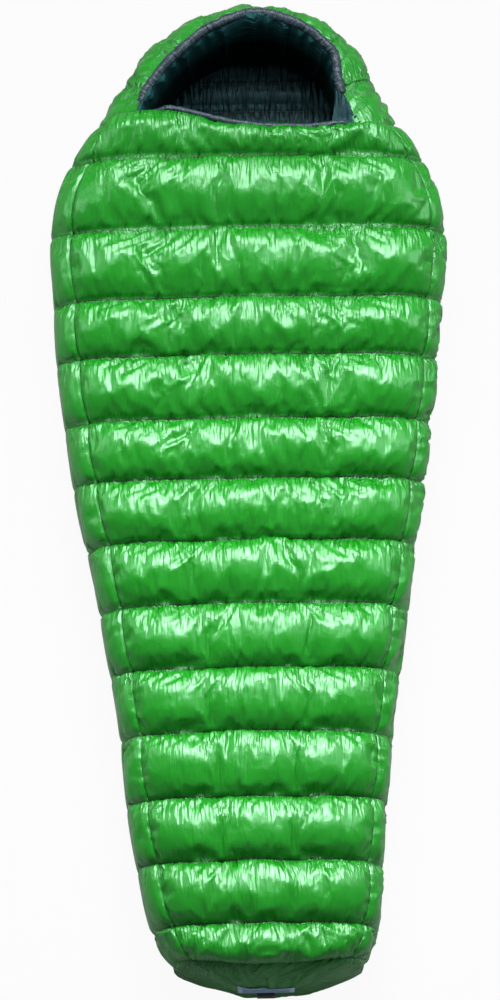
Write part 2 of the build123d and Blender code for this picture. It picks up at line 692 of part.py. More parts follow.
def pull(plane):
    """A flat tab hanging footwards from an eye round the slider's pin."""
    eye = (ZIP_Z - PULL_EYE_WIDTH / 2, ZIP_Z + PULL_EYE_WIDTH / 2)
    body = (ZIP_Z - PULL_WIDTH / 2, ZIP_Z + PULL_WIDTH / 2)
    flat = (pin_out - PULL_THICK / 2, pin_out + PULL_THICK / 2)
    extrude(pin_circle(plane, EYE_RADIUS, eye[0]), amount=PULL_EYE_WIDTH)
    block(plane, flat, eye, (0, BAIL_LENGTH))
    block(plane, flat, body, (BAIL_LENGTH, PULL_LENGTH))
    hole = pin_circle(plane, PULL_PIN_RADIUS + PULL_CLEAR, eye[0])
    extrude(hole, amount=PULL_EYE_WIDTH, mode=Mode.SUBTRACT)


top_slider_plane = zip_plane(math.radians(ZIP_TOP_ANGLE - TOP_SLIDER_BACK))
bottom_slider_plane = slider_frame(foot_plane, -BOTTOM_SLIDER_UP)
for name, plane in {"top": top_slider_plane, "bottom": bottom_slider_plane}.items():
    with BuildPart() as slider_body:
        slider(plane)
    write(f"{name}_slider", slider_body)
    with BuildPart() as slider_pull:
        pull(plane)
    write(f"{name}_slider_pull", slider_pull)

# ---- draft tube behind the zip ----------------------------------------------------------------------------
draft_base = profile_point(SIDE_PROFILE, LOW, WALL, WALL)[1] + DRAFT_SEAM_CLEAR
draft_section = [(0.0, draft_base), (DRAFT_TOE[0], draft_base + DRAFT_TOE[1])]
draft_section += [(inset, ZIP_Z + rise) for inset, rise in DRAFT_PROFILE]
draft_section += [(0.0, LOW_EDGE - DRAFT_SEAM_CLEAR)]
with BuildPart() as draft_tube:
    for span in chamber_spans(BODY_SEAMS):
        rows = sorted({min(max(y, ZIP_FOOT_Y), NECK_Y - DRAFT_TOP_BACK) for y in span}, reverse=True)
        if rows[0] - rows[-1] < SKIN:
            continue
        tube = [[(half_width(y) - WALL - d, z) for d, z in draft_section] for y in rows]
        loft([face_on(cross_plane(y), points) for y, points in zip(rows, tube)], ruled=True)
write("draft_tube", draft_tube)

# ---- blank woven label and hang loop on the foot end ---------------------------------------------------------
with BuildPart() as label:
    with BuildSketch(Plane(origin=(LABEL_X, FOOT_Y, LABEL_Z), x_dir=(1, 0, 0), z_dir=(0, -1, 0))):
        Rectangle(LABEL_WIDTH, LABEL_HEIGHT)
    extrude(amount=LABEL_THICK)
write("foot_label", label)

loop_near = FOOT_Y - LOOP_CLEAR
loop_far = loop_near - 2 * LOOP_THICK - LOOP_GAP
with BuildPart() as hang_loop:
    with BuildSketch(Plane(origin=(LABEL_X - LOOP_WIDTH / 2, 0, 0), x_dir=(0, 1, 0), z_dir=(1, 0, 0))):
        with Locations(((loop_near + loop_far) / 2, LOOP_TOP_Z - LOOP_LENGTH / 2)):
            Rectangle(loop_near - loop_far, LOOP_LENGTH)
            Rectangle(LOOP_GAP, LOOP_LENGTH - 2 * LOOP_THICK, mode=Mode.SUBTRACT)
    extrude(amount=LOOP_WIDTH)
write("hang_loop", hang_loop)

print("parts", len(parts_made), "litres", sum(p.volume for p in parts_made.values()) / 1e6)
print("zip axis", shoulder_axis.position, "slide", -straight_run)
for name, plane in {"top": top_slider_plane, "bottom": bottom_slider_plane}.items():
    print(name, "slider pin", plane.origin + plane.x_dir * pin_out, plane.z_dir)
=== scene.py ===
"""Mummy sleeping bag: the quilted shell, hood, zip and trims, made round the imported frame."""

import bisect
import functools
import math

import bmesh
import bpy
from bpy.props import FloatProperty, FloatVectorProperty, IntProperty, PointerProperty
from bpy.types import Operator, Panel, PropertyGroup
from mathutils import Matrix, Vector, noise
from mathutils.bvhtree import BVHTree


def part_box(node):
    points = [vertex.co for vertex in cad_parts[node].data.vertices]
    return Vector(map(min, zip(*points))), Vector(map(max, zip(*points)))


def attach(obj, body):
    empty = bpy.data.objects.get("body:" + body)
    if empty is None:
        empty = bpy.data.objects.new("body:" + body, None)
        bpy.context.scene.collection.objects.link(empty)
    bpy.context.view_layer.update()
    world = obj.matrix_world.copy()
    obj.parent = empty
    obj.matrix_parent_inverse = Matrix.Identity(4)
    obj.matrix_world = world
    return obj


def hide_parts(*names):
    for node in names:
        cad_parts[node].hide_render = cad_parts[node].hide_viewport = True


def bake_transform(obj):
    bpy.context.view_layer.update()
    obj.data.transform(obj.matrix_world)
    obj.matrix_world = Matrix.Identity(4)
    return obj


bl_info = {
    "name": "Mummy Sleeping Bag",
    "version": (1, 0, 0),
    "blender": (4, 5, 0),
    "location": "View3D > Sidebar > Sleeping Bag",
    "description": "Builds a quilted mummy sleeping bag round its packed frame",
    "category": "Object",
}

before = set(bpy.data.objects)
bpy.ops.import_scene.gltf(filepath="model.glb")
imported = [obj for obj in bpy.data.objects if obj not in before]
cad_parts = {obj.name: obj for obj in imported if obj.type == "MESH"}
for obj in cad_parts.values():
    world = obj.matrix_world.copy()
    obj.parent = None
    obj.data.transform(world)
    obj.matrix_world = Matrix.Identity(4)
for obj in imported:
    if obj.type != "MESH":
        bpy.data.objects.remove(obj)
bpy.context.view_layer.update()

# the plan of the body, in metres
SHOULDER = (0.034, 0.5295)
SHOULDER_RADIUS = 0.373
TAPER = math.radians(6.9)
TOE_START = -0.83
TOE_DRAW = 0.036
TOE_RUN = 0.201
NECK_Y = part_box("left_side_shell")[1].y
FRONT_NECK_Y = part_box("flap_shell")[1].y
FOOT_SEAM_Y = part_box("left_side_shell")[0].y
# the stitch lines, a little headward of the walls under them
SEAMS = (0.702, 0.5525, 0.4075, 0.2855, 0.153, 0.027, -0.103, -0.236, -0.370, -0.503, -0.639, -0.772, -0.902)

# the girth: a flat floor, a round side and a crowned top
MIDDLE = 0.105
TOP_DEPTH = 0.160
TOP_RISE = 0.098
FLOOR_DEPTH = 0.090
FLOOR_DROP = 0.1015
ROUNDNESS = 2.3
CROWN = 0.010
PINCH = 0.007
WALL = 0.024
LEFT_SEAM_IN = 0.050
RIGHT_SEAM_IN = 0.040
FLOOR_SEAM_IN = 0.085
ZIP_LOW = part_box("right_side_shell")[1].z
ZIP_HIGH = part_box("flap_side_shell")[0].z

# the hood, from its corner at the neck to the middle of its crown
HOOD_PLAN = ((0.3048, 0.7868), (0.272, 0.838), (0.240, 0.900), (0.190, 0.965), (0.112, 1.014), (0.038, 1.036))
RIM_IN = (0.078, 0.070, 0.044, 0.034, 0.024, 0.036, 0.048, 0.048, 0.058)  # from the right neck corner to the left
RIM_HEIGHT = 0.207

# the zip's line, seen from above
ZIP_RADIUS = 0.361
ZIP_TOP = math.radians(39)
ZIP_FOOT_Y = -0.711
ZIP_Z = 0.100


class QuiltSettings(PropertyGroup):
    """Sizes of the quilted panels."""

    cell: FloatProperty(name="Cell", description="Mesh size of the simulated cloth", default=0.0061, min=0.003, unit="LENGTH")
    loft: FloatProperty(name="Loft", description="How far a chamber stands above its seams on top, before it is filled", default=0.027, unit="LENGTH")
    side_loft: FloatProperty(name="Side loft", description="How far a chamber stands out at the side", default=0.004, unit="LENGTH")
    swell: FloatProperty(name="Swell", description="Most that a point may move as the chamber fills", default=0.016, unit="LENGTH")
    ceiling: FloatProperty(name="Ceiling", description="Greatest height of the filled chambers", default=0.2545, unit="LENGTH")
    pressure: FloatProperty(name="Pressure", description="Pressure of the fill in a chamber", default=3.0, min=0.0)
    ease: FloatProperty(name="Ease", description="Share of extra cloth gathered into the seams", default=0.09, min=0.0, max=0.3)
    frames: IntProperty(name="Frames", description="Steps of the cloth simulation", default=20, min=1)


class ShellSettings(PropertyGroup):
    """Colours of the fabrics."""

    shell: FloatVectorProperty(name="Shell", description="Outer nylon", subtype="COLOR", default=(0.006, 0.205, 0.006))
    # The shell shade colour is painted shade: the outer nylon is mixed toward it near each seam; it also gives random
    # darker tone and the ripstop lines.
    shell_shade_and_tone: FloatVectorProperty(name="Shell shade", description="Outer nylon where it is gathered", subtype="COLOR", default=(0.002, 0.125, 0.004))
    lining: FloatVectorProperty(name="Lining", description="Inner nylon", subtype="COLOR", default=(0.009, 0.052, 0.056))
    trim: FloatVectorProperty(name="Trim", description="Binding and zip tape", subtype="COLOR", default=(0.006, 0.016, 0.024))
    label: FloatVectorProperty(name="Label", description="Woven label", subtype="COLOR", default=(0.10, 0.27, 0.56))


class StageSettings(PropertyGroup):
    """Floor, light and camera."""

    distance: FloatProperty(name="Distance", description="From the camera to the bag", default=45.0, unit="LENGTH")
    elevation: FloatProperty(name="Elevation", description="Camera's height above the horizon", default=math.radians(77), subtype="ANGLE")
    roll: FloatProperty(name="Roll", description="Camera's turn about its own line of sight", default=math.radians(-0.9), subtype="ANGLE")
    view_height: FloatProperty(name="View height", description="Height of the view at the bag", default=2.048, unit="LENGTH")


# ---------------------------------------------------------------- shader maths


class Value:
    """A shader socket that takes part in Python sums: each operator adds its Math node."""

    def __init__(self, graph, socket):
        self.graph = graph
        self.socket = socket

    def math(self, operation, *others):
        return self.graph.node("ShaderNodeMath", {"operation": operation}, {i: v for i, v in enumerate((self, *others))})[0]

    def reflected(self, operation, other):
        return self.graph.node("ShaderNodeMath", {"operation": operation}, {0: other, 1: self})[0]

    def __add__(self, other):
        return self.math("ADD", other)

    def __radd__(self, other):
        return self.math("ADD", other)

    def __sub__(self, other):
        return self.math("SUBTRACT", other)

    def __rsub__(self, other):
        return self.reflected("SUBTRACT", other)

    def __mul__(self, other):
        return self.math("MULTIPLY", other)

    def __rmul__(self, other):
        return self.math("MULTIPLY", other)

    def __truediv__(self, other):
        return self.math("DIVIDE", other)

    def __rtruediv__(self, other):
        return self.reflected("DIVIDE", other)

    def __pow__(self, other):
        return self.math("POWER", other)

    def __abs__(self):
        return self.math("ABSOLUTE")

    def __lt__(self, other):
        return self.math("LESS_THAN", other)

    def __gt__(self, other):
        return self.math("GREATER_THAN", other)


class Graph:
    """A material's nodes, added one at a time by node()."""

    def __init__(self, name):
        self.material = bpy.data.materials.new(name)
        self.material.use_nodes = True
        self.tree = self.material.node_tree
        self.shader = self.tree.nodes["Principled BSDF"]

    def node(self, kind, settings=None, inputs=None):
        """Adds a node of that type, sets it up, and returns its outputs as Values."""
        made = self.tree.nodes.new(kind)
        for key, value in (settings or {}).items():
            if key == "stops":
                ramp = made.color_ramp
                while len(ramp.elements) < len(value):
                    ramp.elements.new(0.5)
                for element, (place, colour) in zip(ramp.elements, value):
                    element.position = place
                    element.color = colour
            else:
                setattr(made, key, value)
        for key, value in (inputs or {}).items():
            self.feed(made.inputs[key], value)
        return [Value(self, s) for s in made.outputs]

    def feed(self, socket, value):
        if isinstance(value, Value):
            self.tree.links.new(value.socket, socket)
        else:
            socket.default_value = value

    def surface(self, **values):
        """Sets or links the sockets of the shader, such as Base_Color."""
        for key, value in values.items():
            self.feed(self.shader.inputs[key.replace("_", " ")], value)

    def uv(self, across=1.0, along=1.0, layer="cloth"):
        """The piece's own map in metres, scaled."""
        place = self.node("ShaderNodeUVMap", {"uv_map": layer})[0]
        return self.node("ShaderNodeMapping", {}, {"Vector": place, "Scale": (across, along, 1)})[0]

    def here(self, scale=(1, 1, 1)):
        """Object coordinates, scaled."""
        place = self.node("ShaderNodeTexCoord")[3]
        return self.node("ShaderNodeMapping", {}, {"Vector": place, "Scale": scale})[0]

    def noise(self, place, scale, detail=2.0, rough=0.5, distortion=0.0):
        return self.node("ShaderNodeTexNoise", {}, {"Vector": place, "Scale": scale, "Detail": detail, "Roughness": rough, "Distortion": distortion})[0]

    def ridges(self, place, scale, detail=2.0):
        """Sharp creases: noise folded about its middle."""
        return 1 - abs(self.noise(place, scale, detail) * 2 - 1) * 2.2

    def split(self, vector):
        return self.node("ShaderNodeSeparateXYZ", {}, {0: vector})

    def attribute(self, name):
        return self.node("ShaderNodeAttribute", {"attribute_name": name})[2]

    def mix(self, factor, a, b):
        """Colour a where the factor is 0 and b where it is 1."""
        made = self.tree.nodes.new("ShaderNodeMix")
        made.data_type = "RGBA"
        self.feed(made.inputs[0], factor)
        self.feed(made.inputs[6], a)
        self.feed(made.inputs[7], b)
        return Value(self, made.outputs[2])

    def clamp(self, value):
        return self.node("ShaderNodeClamp", {}, {0: value})[0]

    def bump(self, height, distance, strength=1.0, under=None):
        inputs = {"Height": height, "Distance": distance, "Strength": strength}
        if under is not None:
            inputs["Normal"] = under
        return self.node("ShaderNodeBump", {}, inputs)[0]


def rgba(colour):
    return (*colour, 1.0)


def gathered_nylon(name, colour, shade, thread, gloss, crumple, tint, shine, painted_depth_shade=None):
    """Thin coated nylon: a fine ripstop weave, gathers that run out of each seam, and a row of stitches. Its colour is
    darkened toward each seam as painted shade, and, when the last argument is given, toward the bottom of the bag as
    painted shade.
    """
    g = Graph(name)
    seam = g.attribute("seam")
    near = g.node("ShaderNodeMath", {"operation": "EXPONENT"}, {0: seam * -60.0})[0]
    fall = g.attribute("fall")
    below = g.node("ShaderNodeMath", {"operation": "EXPONENT"}, {0: fall * -30.0})[0]
    gathers = g.ridges(g.uv(62.0, 12.0), 1.0, 2.0)
    fine = g.ridges(g.uv(150.0, 30.0), 1.0, 2.0)
    crease = g.ridges(g.uv(14.0, 11.0), 1.0, 3.0)
    across, along, _ = g.split(g.uv())
    weave = g.node("ShaderNodeMath", {"operation": "SINE"}, {0: across * 4200.0})[0] * g.node("ShaderNodeMath", {"operation": "SINE"}, {0: along * 4200.0})[0]
    rip = g.node("ShaderNodeMath", {"operation": "PINGPONG"}, {0: across, 1: 0.0025})[0] < 0.00018
    rip = g.clamp(rip + (g.node("ShaderNodeMath", {"operation": "PINGPONG"}, {0: along, 1: 0.0025})[0] < 0.00018))
    dash = g.node("ShaderNodeMath", {"operation": "PINGPONG"}, {0: across + along, 1: 0.0021})[0] > 0.0006
    stitch = g.clamp((seam < 0.0007) + (g.attribute("border") < 0.0009)) * dash
    patches = g.noise(g.here(), 5.0, 3.0)
    # painted shade: the colour is mixed toward the shade colour near each seam, less on the gathers' ridges; the noise
    # patches add random darker and paler tone
    depth = g.clamp(near * (0.42 - gathers * 0.30) + (patches - 0.5) * 0.35)
    cloth = g.mix(depth, rgba(colour), rgba(shade))
    # the ripstop grid's lines take a little of the shade colour as a woven pattern
    cloth = g.mix(rip * 0.10, cloth, rgba(shade))
    # painted shade: below the first given height the colour darkens over the second, toward a near-black copy of the
    # shade colour, so the inside of the bag darkens toward its floor
    if painted_depth_shade is not None:
        height = g.split(g.here())[2]
        cloth = g.mix(g.clamp((painted_depth_shade[0] - height) / painted_depth_shade[1]), cloth, rgba([v * 0.12 for v in shade]))
    cloth = g.mix(stitch, cloth, rgba(thread))
    folds = g.bump(gathers * (below + near * 0.2) + fine * near * 0.2, 0.0060, 0.9)
    folds = g.bump(crease, 0.0016 * crumple, 0.8, folds)
    folds = g.bump(weave * 0.5 + rip - stitch * 2, 0.00012, 0.35, folds)
    g.surface(Base_Color=cloth, Roughness=gloss + patches * 0.10 + near * 0.05, Normal=folds, Specular_IOR_Level=shine, Specular_Tint=rgba(tint))
    g.surface(Coat_Weight=0.055 * shine, Coat_Roughness=0.22)
    return g.material


def woven(name, colour, light, gauge, rough):
    """Narrow woven tape: ribs across, and a paler edge to each rib that is a painted highlight."""
    g = Graph(name)
    x, y, z = g.split(g.here())
    rib = g.node("ShaderNodeMath", {"operation": "SINE"}, {0: (x + y) * (2 * math.pi / gauge)})[0] * g.node("ShaderNodeMath", {"operation": "SINE"}, {0: (z + x - y) * (2 * math.pi / gauge)})[0]
    wear = g.noise(g.here(), 60.0, 3.0)
    # painted highlight: the raised ribs are mixed toward the paler colour; the wear noise adds random paler tone
    g.surface(Base_Color=g.mix(g.clamp(rib * 0.35 + wear * 0.5), rgba(colour), rgba(light)), Roughness=rough + wear * 0.15)
    g.surface(Normal=g.bump(rib, 0.0003, 0.6), Sheen_Weight=0.3)
    return g.material


def gathered_binding(name, colour, light):
    """Lining fabric drawn up small, with close creases across it; the crease ridges are painted paler as a painted
    highlight.
    """
    g = Graph(name)
    creases = g.ridges(g.uv(160.0, 20.0), 1.0, 3.0)
    worn = g.noise(g.here(), 40.0, 3.0)
    # painted highlight: the crease ridges are mixed toward the paler colour; the worn noise adds random paler tone
    g.surface(Base_Color=g.mix(g.clamp(creases * 0.5 + worn * 0.3 - 0.1), rgba(colour), rgba(light)), Roughness=0.34 + worn * 0.15)
    g.surface(Normal=g.bump(creases, 0.0022, 0.8), Specular_IOR_Level=0.5, Coat_Weight=0.15, Coat_Roughness=0.25)
    return g.material


def painted_metal(name, colour, rough):
    """Cast zinc with a thin lacquer, rubbed at random."""
    g = Graph(name)
    grain = g.noise(g.here(), 400.0, 3.0)
    worn = g.noise(g.here(), 120.0, 4.0)
    g.surface(Base_Color=g.mix(g.clamp(worn * 2 - 0.9), rgba(colour), rgba((0.35, 0.36, 0.37))), Metallic=0.85, Roughness=rough + worn * 0.2)
    g.surface(Normal=g.bump(grain, 0.0001, 0.3))
    return g.material


def moulded_coil(name, colour):
    """Nylon monofilament."""
    g = Graph(name)
    tone = g.noise(g.here(), 150.0, 2.0)
    g.surface(Base_Color=g.mix(tone, rgba(colour), rgba([c * 2.2 for c in colour])), Roughness=0.30 + tone * 0.15)
    return g.material


def braided_cord(name, colour, fleck):
    """Round braided cord with a light fleck."""
    g = Graph(name)
    x, y, z = g.split(g.here((900.0, 900.0, 900.0)))
    braid = g.node("ShaderNodeMath", {"operation": "SINE"}, {0: x + y + z})[0] * g.node("ShaderNodeMath", {"operation": "SINE"}, {0: x - y + z * 2})[0]
    g.surface(Base_Color=g.mix(braid > 0.86, rgba(colour), rgba(fleck)), Roughness=0.7, Normal=g.bump(braid, 0.0004, 0.7))
    return g.material


def woven_label(name, colour):
    """Satin label with a plain field and a paler woven edge."""
    g = Graph(name)
    across, along, _ = g.split(g.uv())
    satin = g.node("ShaderNodeMath", {"operation": "SINE"}, {0: along * 9000.0})[0]
    edge = g.clamp((abs(across) > 0.0485) + (abs(along) > 0.0135))
    mottle = g.noise(g.here(), 90.0, 3.0)
    g.surface(Base_Color=g.mix(g.clamp(edge * 0.7 + mottle * 0.25), rgba(colour), rgba((0.45, 0.62, 0.78))), Roughness=0.42 + mottle * 0.15)
    g.surface(Normal=g.bump(satin + mottle * 3, 0.0002, 0.5), Sheen_Weight=0.3)
    return g.material


def make_finishes():
    """Every material of the bag, by the record's slot."""
    c = bpy.context.scene.bag_colours
    shell, shade_and_tone, lining, trim = (tuple(v) for v in (c.shell, c.shell_shade_and_tone, c.lining, c.trim))
    return {
        # shell nylon: its shade colour is painted shade toward each seam, and also the random darker tone and the
        # ripstop lines
        "shell_nylon": gathered_nylon("shell nylon", shell, shade_and_tone, (0.012, 0.16, 0.015), 0.24, 1.0, (0.60, 1.0, 0.74), 0.95),
        # lining nylon: its darker copy is painted shade toward each seam, and 0.190 and 0.075 make the inside darken
        # toward the floor as painted shade
        "lining_nylon": gathered_nylon("lining nylon", lining, [v * 0.45 for v in lining], (0.02, 0.04, 0.05), 0.36, 0.8, (0.35, 0.85, 0.95), 0.25, (0.190, 0.075)),
        # the insulation's paler colour is the painted highlight on its crease ridges
        "insulation": gathered_binding("insulation", (0.75, 0.75, 0.72), (0.9, 0.9, 0.88)),
        # the baffle mesh's paler colour is the painted highlight on its raised ribs
        "baffle_mesh": woven("baffle mesh", (0.55, 0.6, 0.55), (0.7, 0.75, 0.7), 0.002, 0.7),
        # the hem binding's paler copy of the trim is the painted highlight on its crease ridges
        "hem_binding": gathered_binding("hem binding", trim, [v * 3.0 for v in trim]),
        # the zip tape's paler copy of the trim is the painted highlight on its raised ribs
        "zip_tape": woven("zip tape", trim, [v * 2.5 for v in trim], 0.0012, 0.65),
        "zip_coil": moulded_coil("zip coil", (0.010, 0.014, 0.020)),
        "zip_metal": painted_metal("zip metal", (0.05, 0.055, 0.06), 0.30),
        "zip_pull": painted_metal("zip pull", (0.06, 0.065, 0.07), 0.35),
        "cord": braided_cord("drawcord", (0.012, 0.014, 0.018), (0.25, 0.35, 0.3)),
        "label_fabric": woven_label("label fabric", tuple(c.label)),
        # the webbing's paler colour is the painted highlight on its raised ribs
        "webbing": woven("webbing", (0.010, 0.011, 0.013), (0.035, 0.038, 0.045), 0.0022, 0.7),
    }


finishes = {}


def finish_of(slot):
    if not finishes:
        finishes.update(make_finishes())
    return finishes[slot]


# ---------------------------------------------------------------- the bag's own shape


def lerp(a, b, t):
    return a + (b - a) * t


def smooth(t):
    t = min(1.0, max(0.0, t))
    return t * t * (3 - 2 * t)


def half_width(y):
    """Half the bag's width over its chambers: a shoulder arc, a straight taper, and a drawn-in toe."""
    tangent_x = SHOULDER[0] + SHOULDER_RADIUS * math.cos(TAPER)
    tangent_y = SHOULDER[1] - SHOULDER_RADIUS * math.sin(TAPER)
    if y >= tangent_y:
        return SHOULDER[0] + math.sqrt(max(0.0, SHOULDER_RADIUS**2 - (y - SHOULDER[1]) ** 2))
    toe = max(0.0, TOE_START - y) / TOE_RUN
    return tangent_x - (tangent_y - y) * math.tan(TAPER) - TOE_DRAW * toe**2


def lean(y):
    """How far the bag lies off its own middle line: its toe and the crown of its hood both lean the same way."""
    return 0.022 * smooth((y - 0.80) / 0.26) + 0.018 * smooth((-0.62 - y) / 0.42)


def contour(y, side):
    """How far a side leaves its straight taper: out at the hips, more so on the left, and in below them."""
    hips = math.exp(-(((y - 0.15) / 0.26) ** 4))
    knees = math.exp(-(((y + 0.45) / 0.14) ** 2))
    return (0.018 if side < 0 else 0.009) * hips - 0.008 * knees


def toe_round(x, y):
    """How far headward the toe's corners are drawn, from the last seam to the foot end."""
    return 0.024 * (abs(x) / 0.2) ** 1.4 * smooth((SEAMS[-1] - y) / (SEAMS[-1] - FOOT_SEAM_Y))


def round_corner(depth, rise, turn):
    """(in from the side, up or down from the middle) a part turn round a super-elliptic corner."""
    c, s = math.cos(turn), math.sin(turn)
    return depth * (1 - c ** (2 / ROUNDNESS)), rise * s ** (2 / ROUNDNESS)


@functools.lru_cache(maxsize=None)
def girth_line(y):
    """Half the girth at y, from under the middle to over it: points, and the share of its length at each."""
    side = half_width(y) - PINCH
    turns = [math.radians(a) for a in range(0, 91, 3)]
    points = [(side - FLOOR_DEPTH) * i / 12 for i in range(12)]
    points = [(x, MIDDLE - FLOOR_DROP) for x in points]
    for turn in reversed(turns):
        inward, drop = round_corner(FLOOR_DEPTH, FLOOR_DROP, turn)
        points.append((side - inward, MIDDLE - drop))
    for turn in turns[1:]:
        inward, rise = round_corner(TOP_DEPTH, TOP_RISE, turn)
        points.append((side - inward, MIDDLE + rise))
    flat = side - TOP_DEPTH
    for i in range(1, 25):
        x = flat * (1 - i / 24)
        points.append((x, MIDDLE + TOP_RISE + CROWN * 0.5 * (1 + math.cos(math.pi * x / flat))))
    lengths = [0.0]
    for a, b in zip(points, points[1:]):
        lengths.append(lengths[-1] + math.dist(a, b))
    return points, [v / lengths[-1] for v in lengths], lengths[-1]


def girth_spot(y, side, share):
    """The point at that share of the half girth, and the way out of the bag there."""
    points, shares, _ = girth_line(round(y, 6))
    i = min(len(points) - 2, max(0, bisect.bisect_right(shares, share) - 1))
    run = (share - shares[i]) / max(1e-9, shares[i + 1] - shares[i])
    x, z = (lerp(points[i][k], points[i + 1][k], run) for k in (0, 1))
    a, b = points[max(0, i - 1)], points[min(len(points) - 1, i + 2)]
    out = Vector((side * (b[1] - a[1]), 0, -(b[0] - a[0]))).normalized()
    bulge = contour(y, side) * (x / points[len(points) // 3][0]) ** 2
    if side > 0:
        bulge *= smooth((z - 0.112) / 0.035)
    return Vector((side * (x + bulge) + lean(y), y + toe_round(x, y), z)), out


@functools.lru_cache(maxsize=None)
def share_at(y, kind):
    """The share of the half girth at a lengthwise seam or at an edge of the zip."""
    points, shares, _ = girth_line(y)
    side = half_width(y) - PINCH
    widest = max(range(len(points)), key=lambda i: points[i][0])
    if kind == "floor":
        spots = [(abs(side - FLOOR_SEAM_IN + PINCH - points[i][0]), shares[i]) for i in range(widest)]
        return min(spots)[1]
    if kind in ("left", "right"):
        inward = (LEFT_SEAM_IN if kind == "left" else RIGHT_SEAM_IN) - PINCH
        for i in range(widest, len(points) - 1):
            a, b = side - points[i][0], side - points[i + 1][0]
            if a <= inward <= b:
                return lerp(shares[i], shares[i + 1], (inward - a) / max(1e-9, b - a))
    height = ZIP_HIGH if kind == "high" else ZIP_LOW
    for i in range(len(points) - 1):
        if points[i][1] <= height <= points[i + 1][1]:
            return lerp(shares[i], shares[i + 1], (height - points[i][1]) / max(1e-9, points[i + 1][1] - points[i][1]))
    raise ValueError(kind)


def front_spot(y, t):
    """Across the front, from its left seam over the top to its right seam."""
    y = round(y, 6)
    h = lerp(share_at(y, "left") - 1, 1 - share_at(y, "right"), t)
    return girth_spot(y, -1 if h < 0 else 1, 1 - abs(h))


def back_spot(y, t):
    """Under the bag, from the right floor seam to the left one."""
    y = round(y, 6)
    reach = share_at(y, "floor")
    h = lerp(reach, -reach, t)
    return girth_spot(y, -1 if h < 0 else 1, abs(h))


def strip_spot(side, start, end):
    """A function that goes round one side from one line to another."""

    def spot(y, t):
        y = round(y, 6)
        return girth_spot(y, side, lerp(share_at(y, start), share_at(y, end), t))

    return spot


def neck_rise(x):
    """How far the front's neck edge leaves its straight line: up over the hood's left corner, down by the zip."""
    return 0.034 * smooth((0.07 - x) / 0.29) - 0.014 * smooth((0.22 - abs(x - 0.05)) / 0.16)


def quilt_rows(seams, cell):
    """(y, place in its chamber, whether it is a seam, chamber) of each row of the mesh."""
    rows = []
    for number, (a, b) in enumerate(zip(seams, seams[1:])):
        steps = max(4, round((a - b) / cell))
        rows += [(lerp(a, b, i / steps), i / steps, i == 0, number) for i in range(steps)]
    rows.append((seams[-1], 0.0, True, len(seams) - 1))
    return rows


def bow(t):
    """A chamber's section between two seams, full at the middle and steep at its ends."""
    return math.sqrt(max(0.0, 1 - abs(2 * t - 1) ** 2.3))


def fill_out(piece, pinned, pressure, ease, swell):
    """Fills the chambers: cloth held at its seams is blown up, and each point's move is capped."""
    quilt = bpy.context.scene.bag_quilt
    if pressure == 0:
        return
    start = [v.co.copy() for v in piece.data.vertices]
    piece.vertex_groups.new(name="seams").add(pinned, 1.0, "REPLACE")
    cloth = piece.modifiers.new("fill", "CLOTH")
    s = cloth.settings
    s.quality = 4
    s.mass = 0.05
    s.tension_stiffness = s.compression_stiffness = 12
    s.shear_stiffness = 4
    s.bending_stiffness = 0.02
    s.tension_damping = s.compression_damping = s.shear_damping = s.air_damping = 4
    s.vertex_group_mass = "seams"
    s.use_pressure = True
    s.uniform_pressure_force = pressure
    s.shrink_min = -ease
    s.effector_weights.gravity = 0
    cloth.collision_settings.use_collision = False
    for step in range(1, quilt.frames + 1):
        bpy.context.scene.frame_set(step)
    moved = bpy.data.meshes.new_from_object(piece.evaluated_get(bpy.context.evaluated_depsgraph_get()))
    piece.modifiers.clear()
    piece.vertex_groups.clear()
    for vertex, was, now in zip(piece.data.vertices, start, moved.vertices):
        step = now.co - was
        vertex.co = was + (step * (swell / step.length) if step.length > swell else step)
    bpy.data.meshes.remove(moved)
    bpy.context.scene.frame_set(1)


def new_piece(name, mesh=None):
    piece = bpy.data.objects.new(name, mesh or bpy.data.meshes.new(name))
    bpy.context.scene.collection.objects.link(piece)
    return piece


def mesh_piece(name, bm, slots):
    """Turns a bmesh into a smooth-shaded piece with these finishes."""
    piece = new_piece(name)
    bm.to_mesh(piece.data)
    bm.free()
    for slot in slots:
        piece.data.materials.append(finish_of(slot))
    for face in piece.data.polygons:
        face.use_smooth = True
    return piece


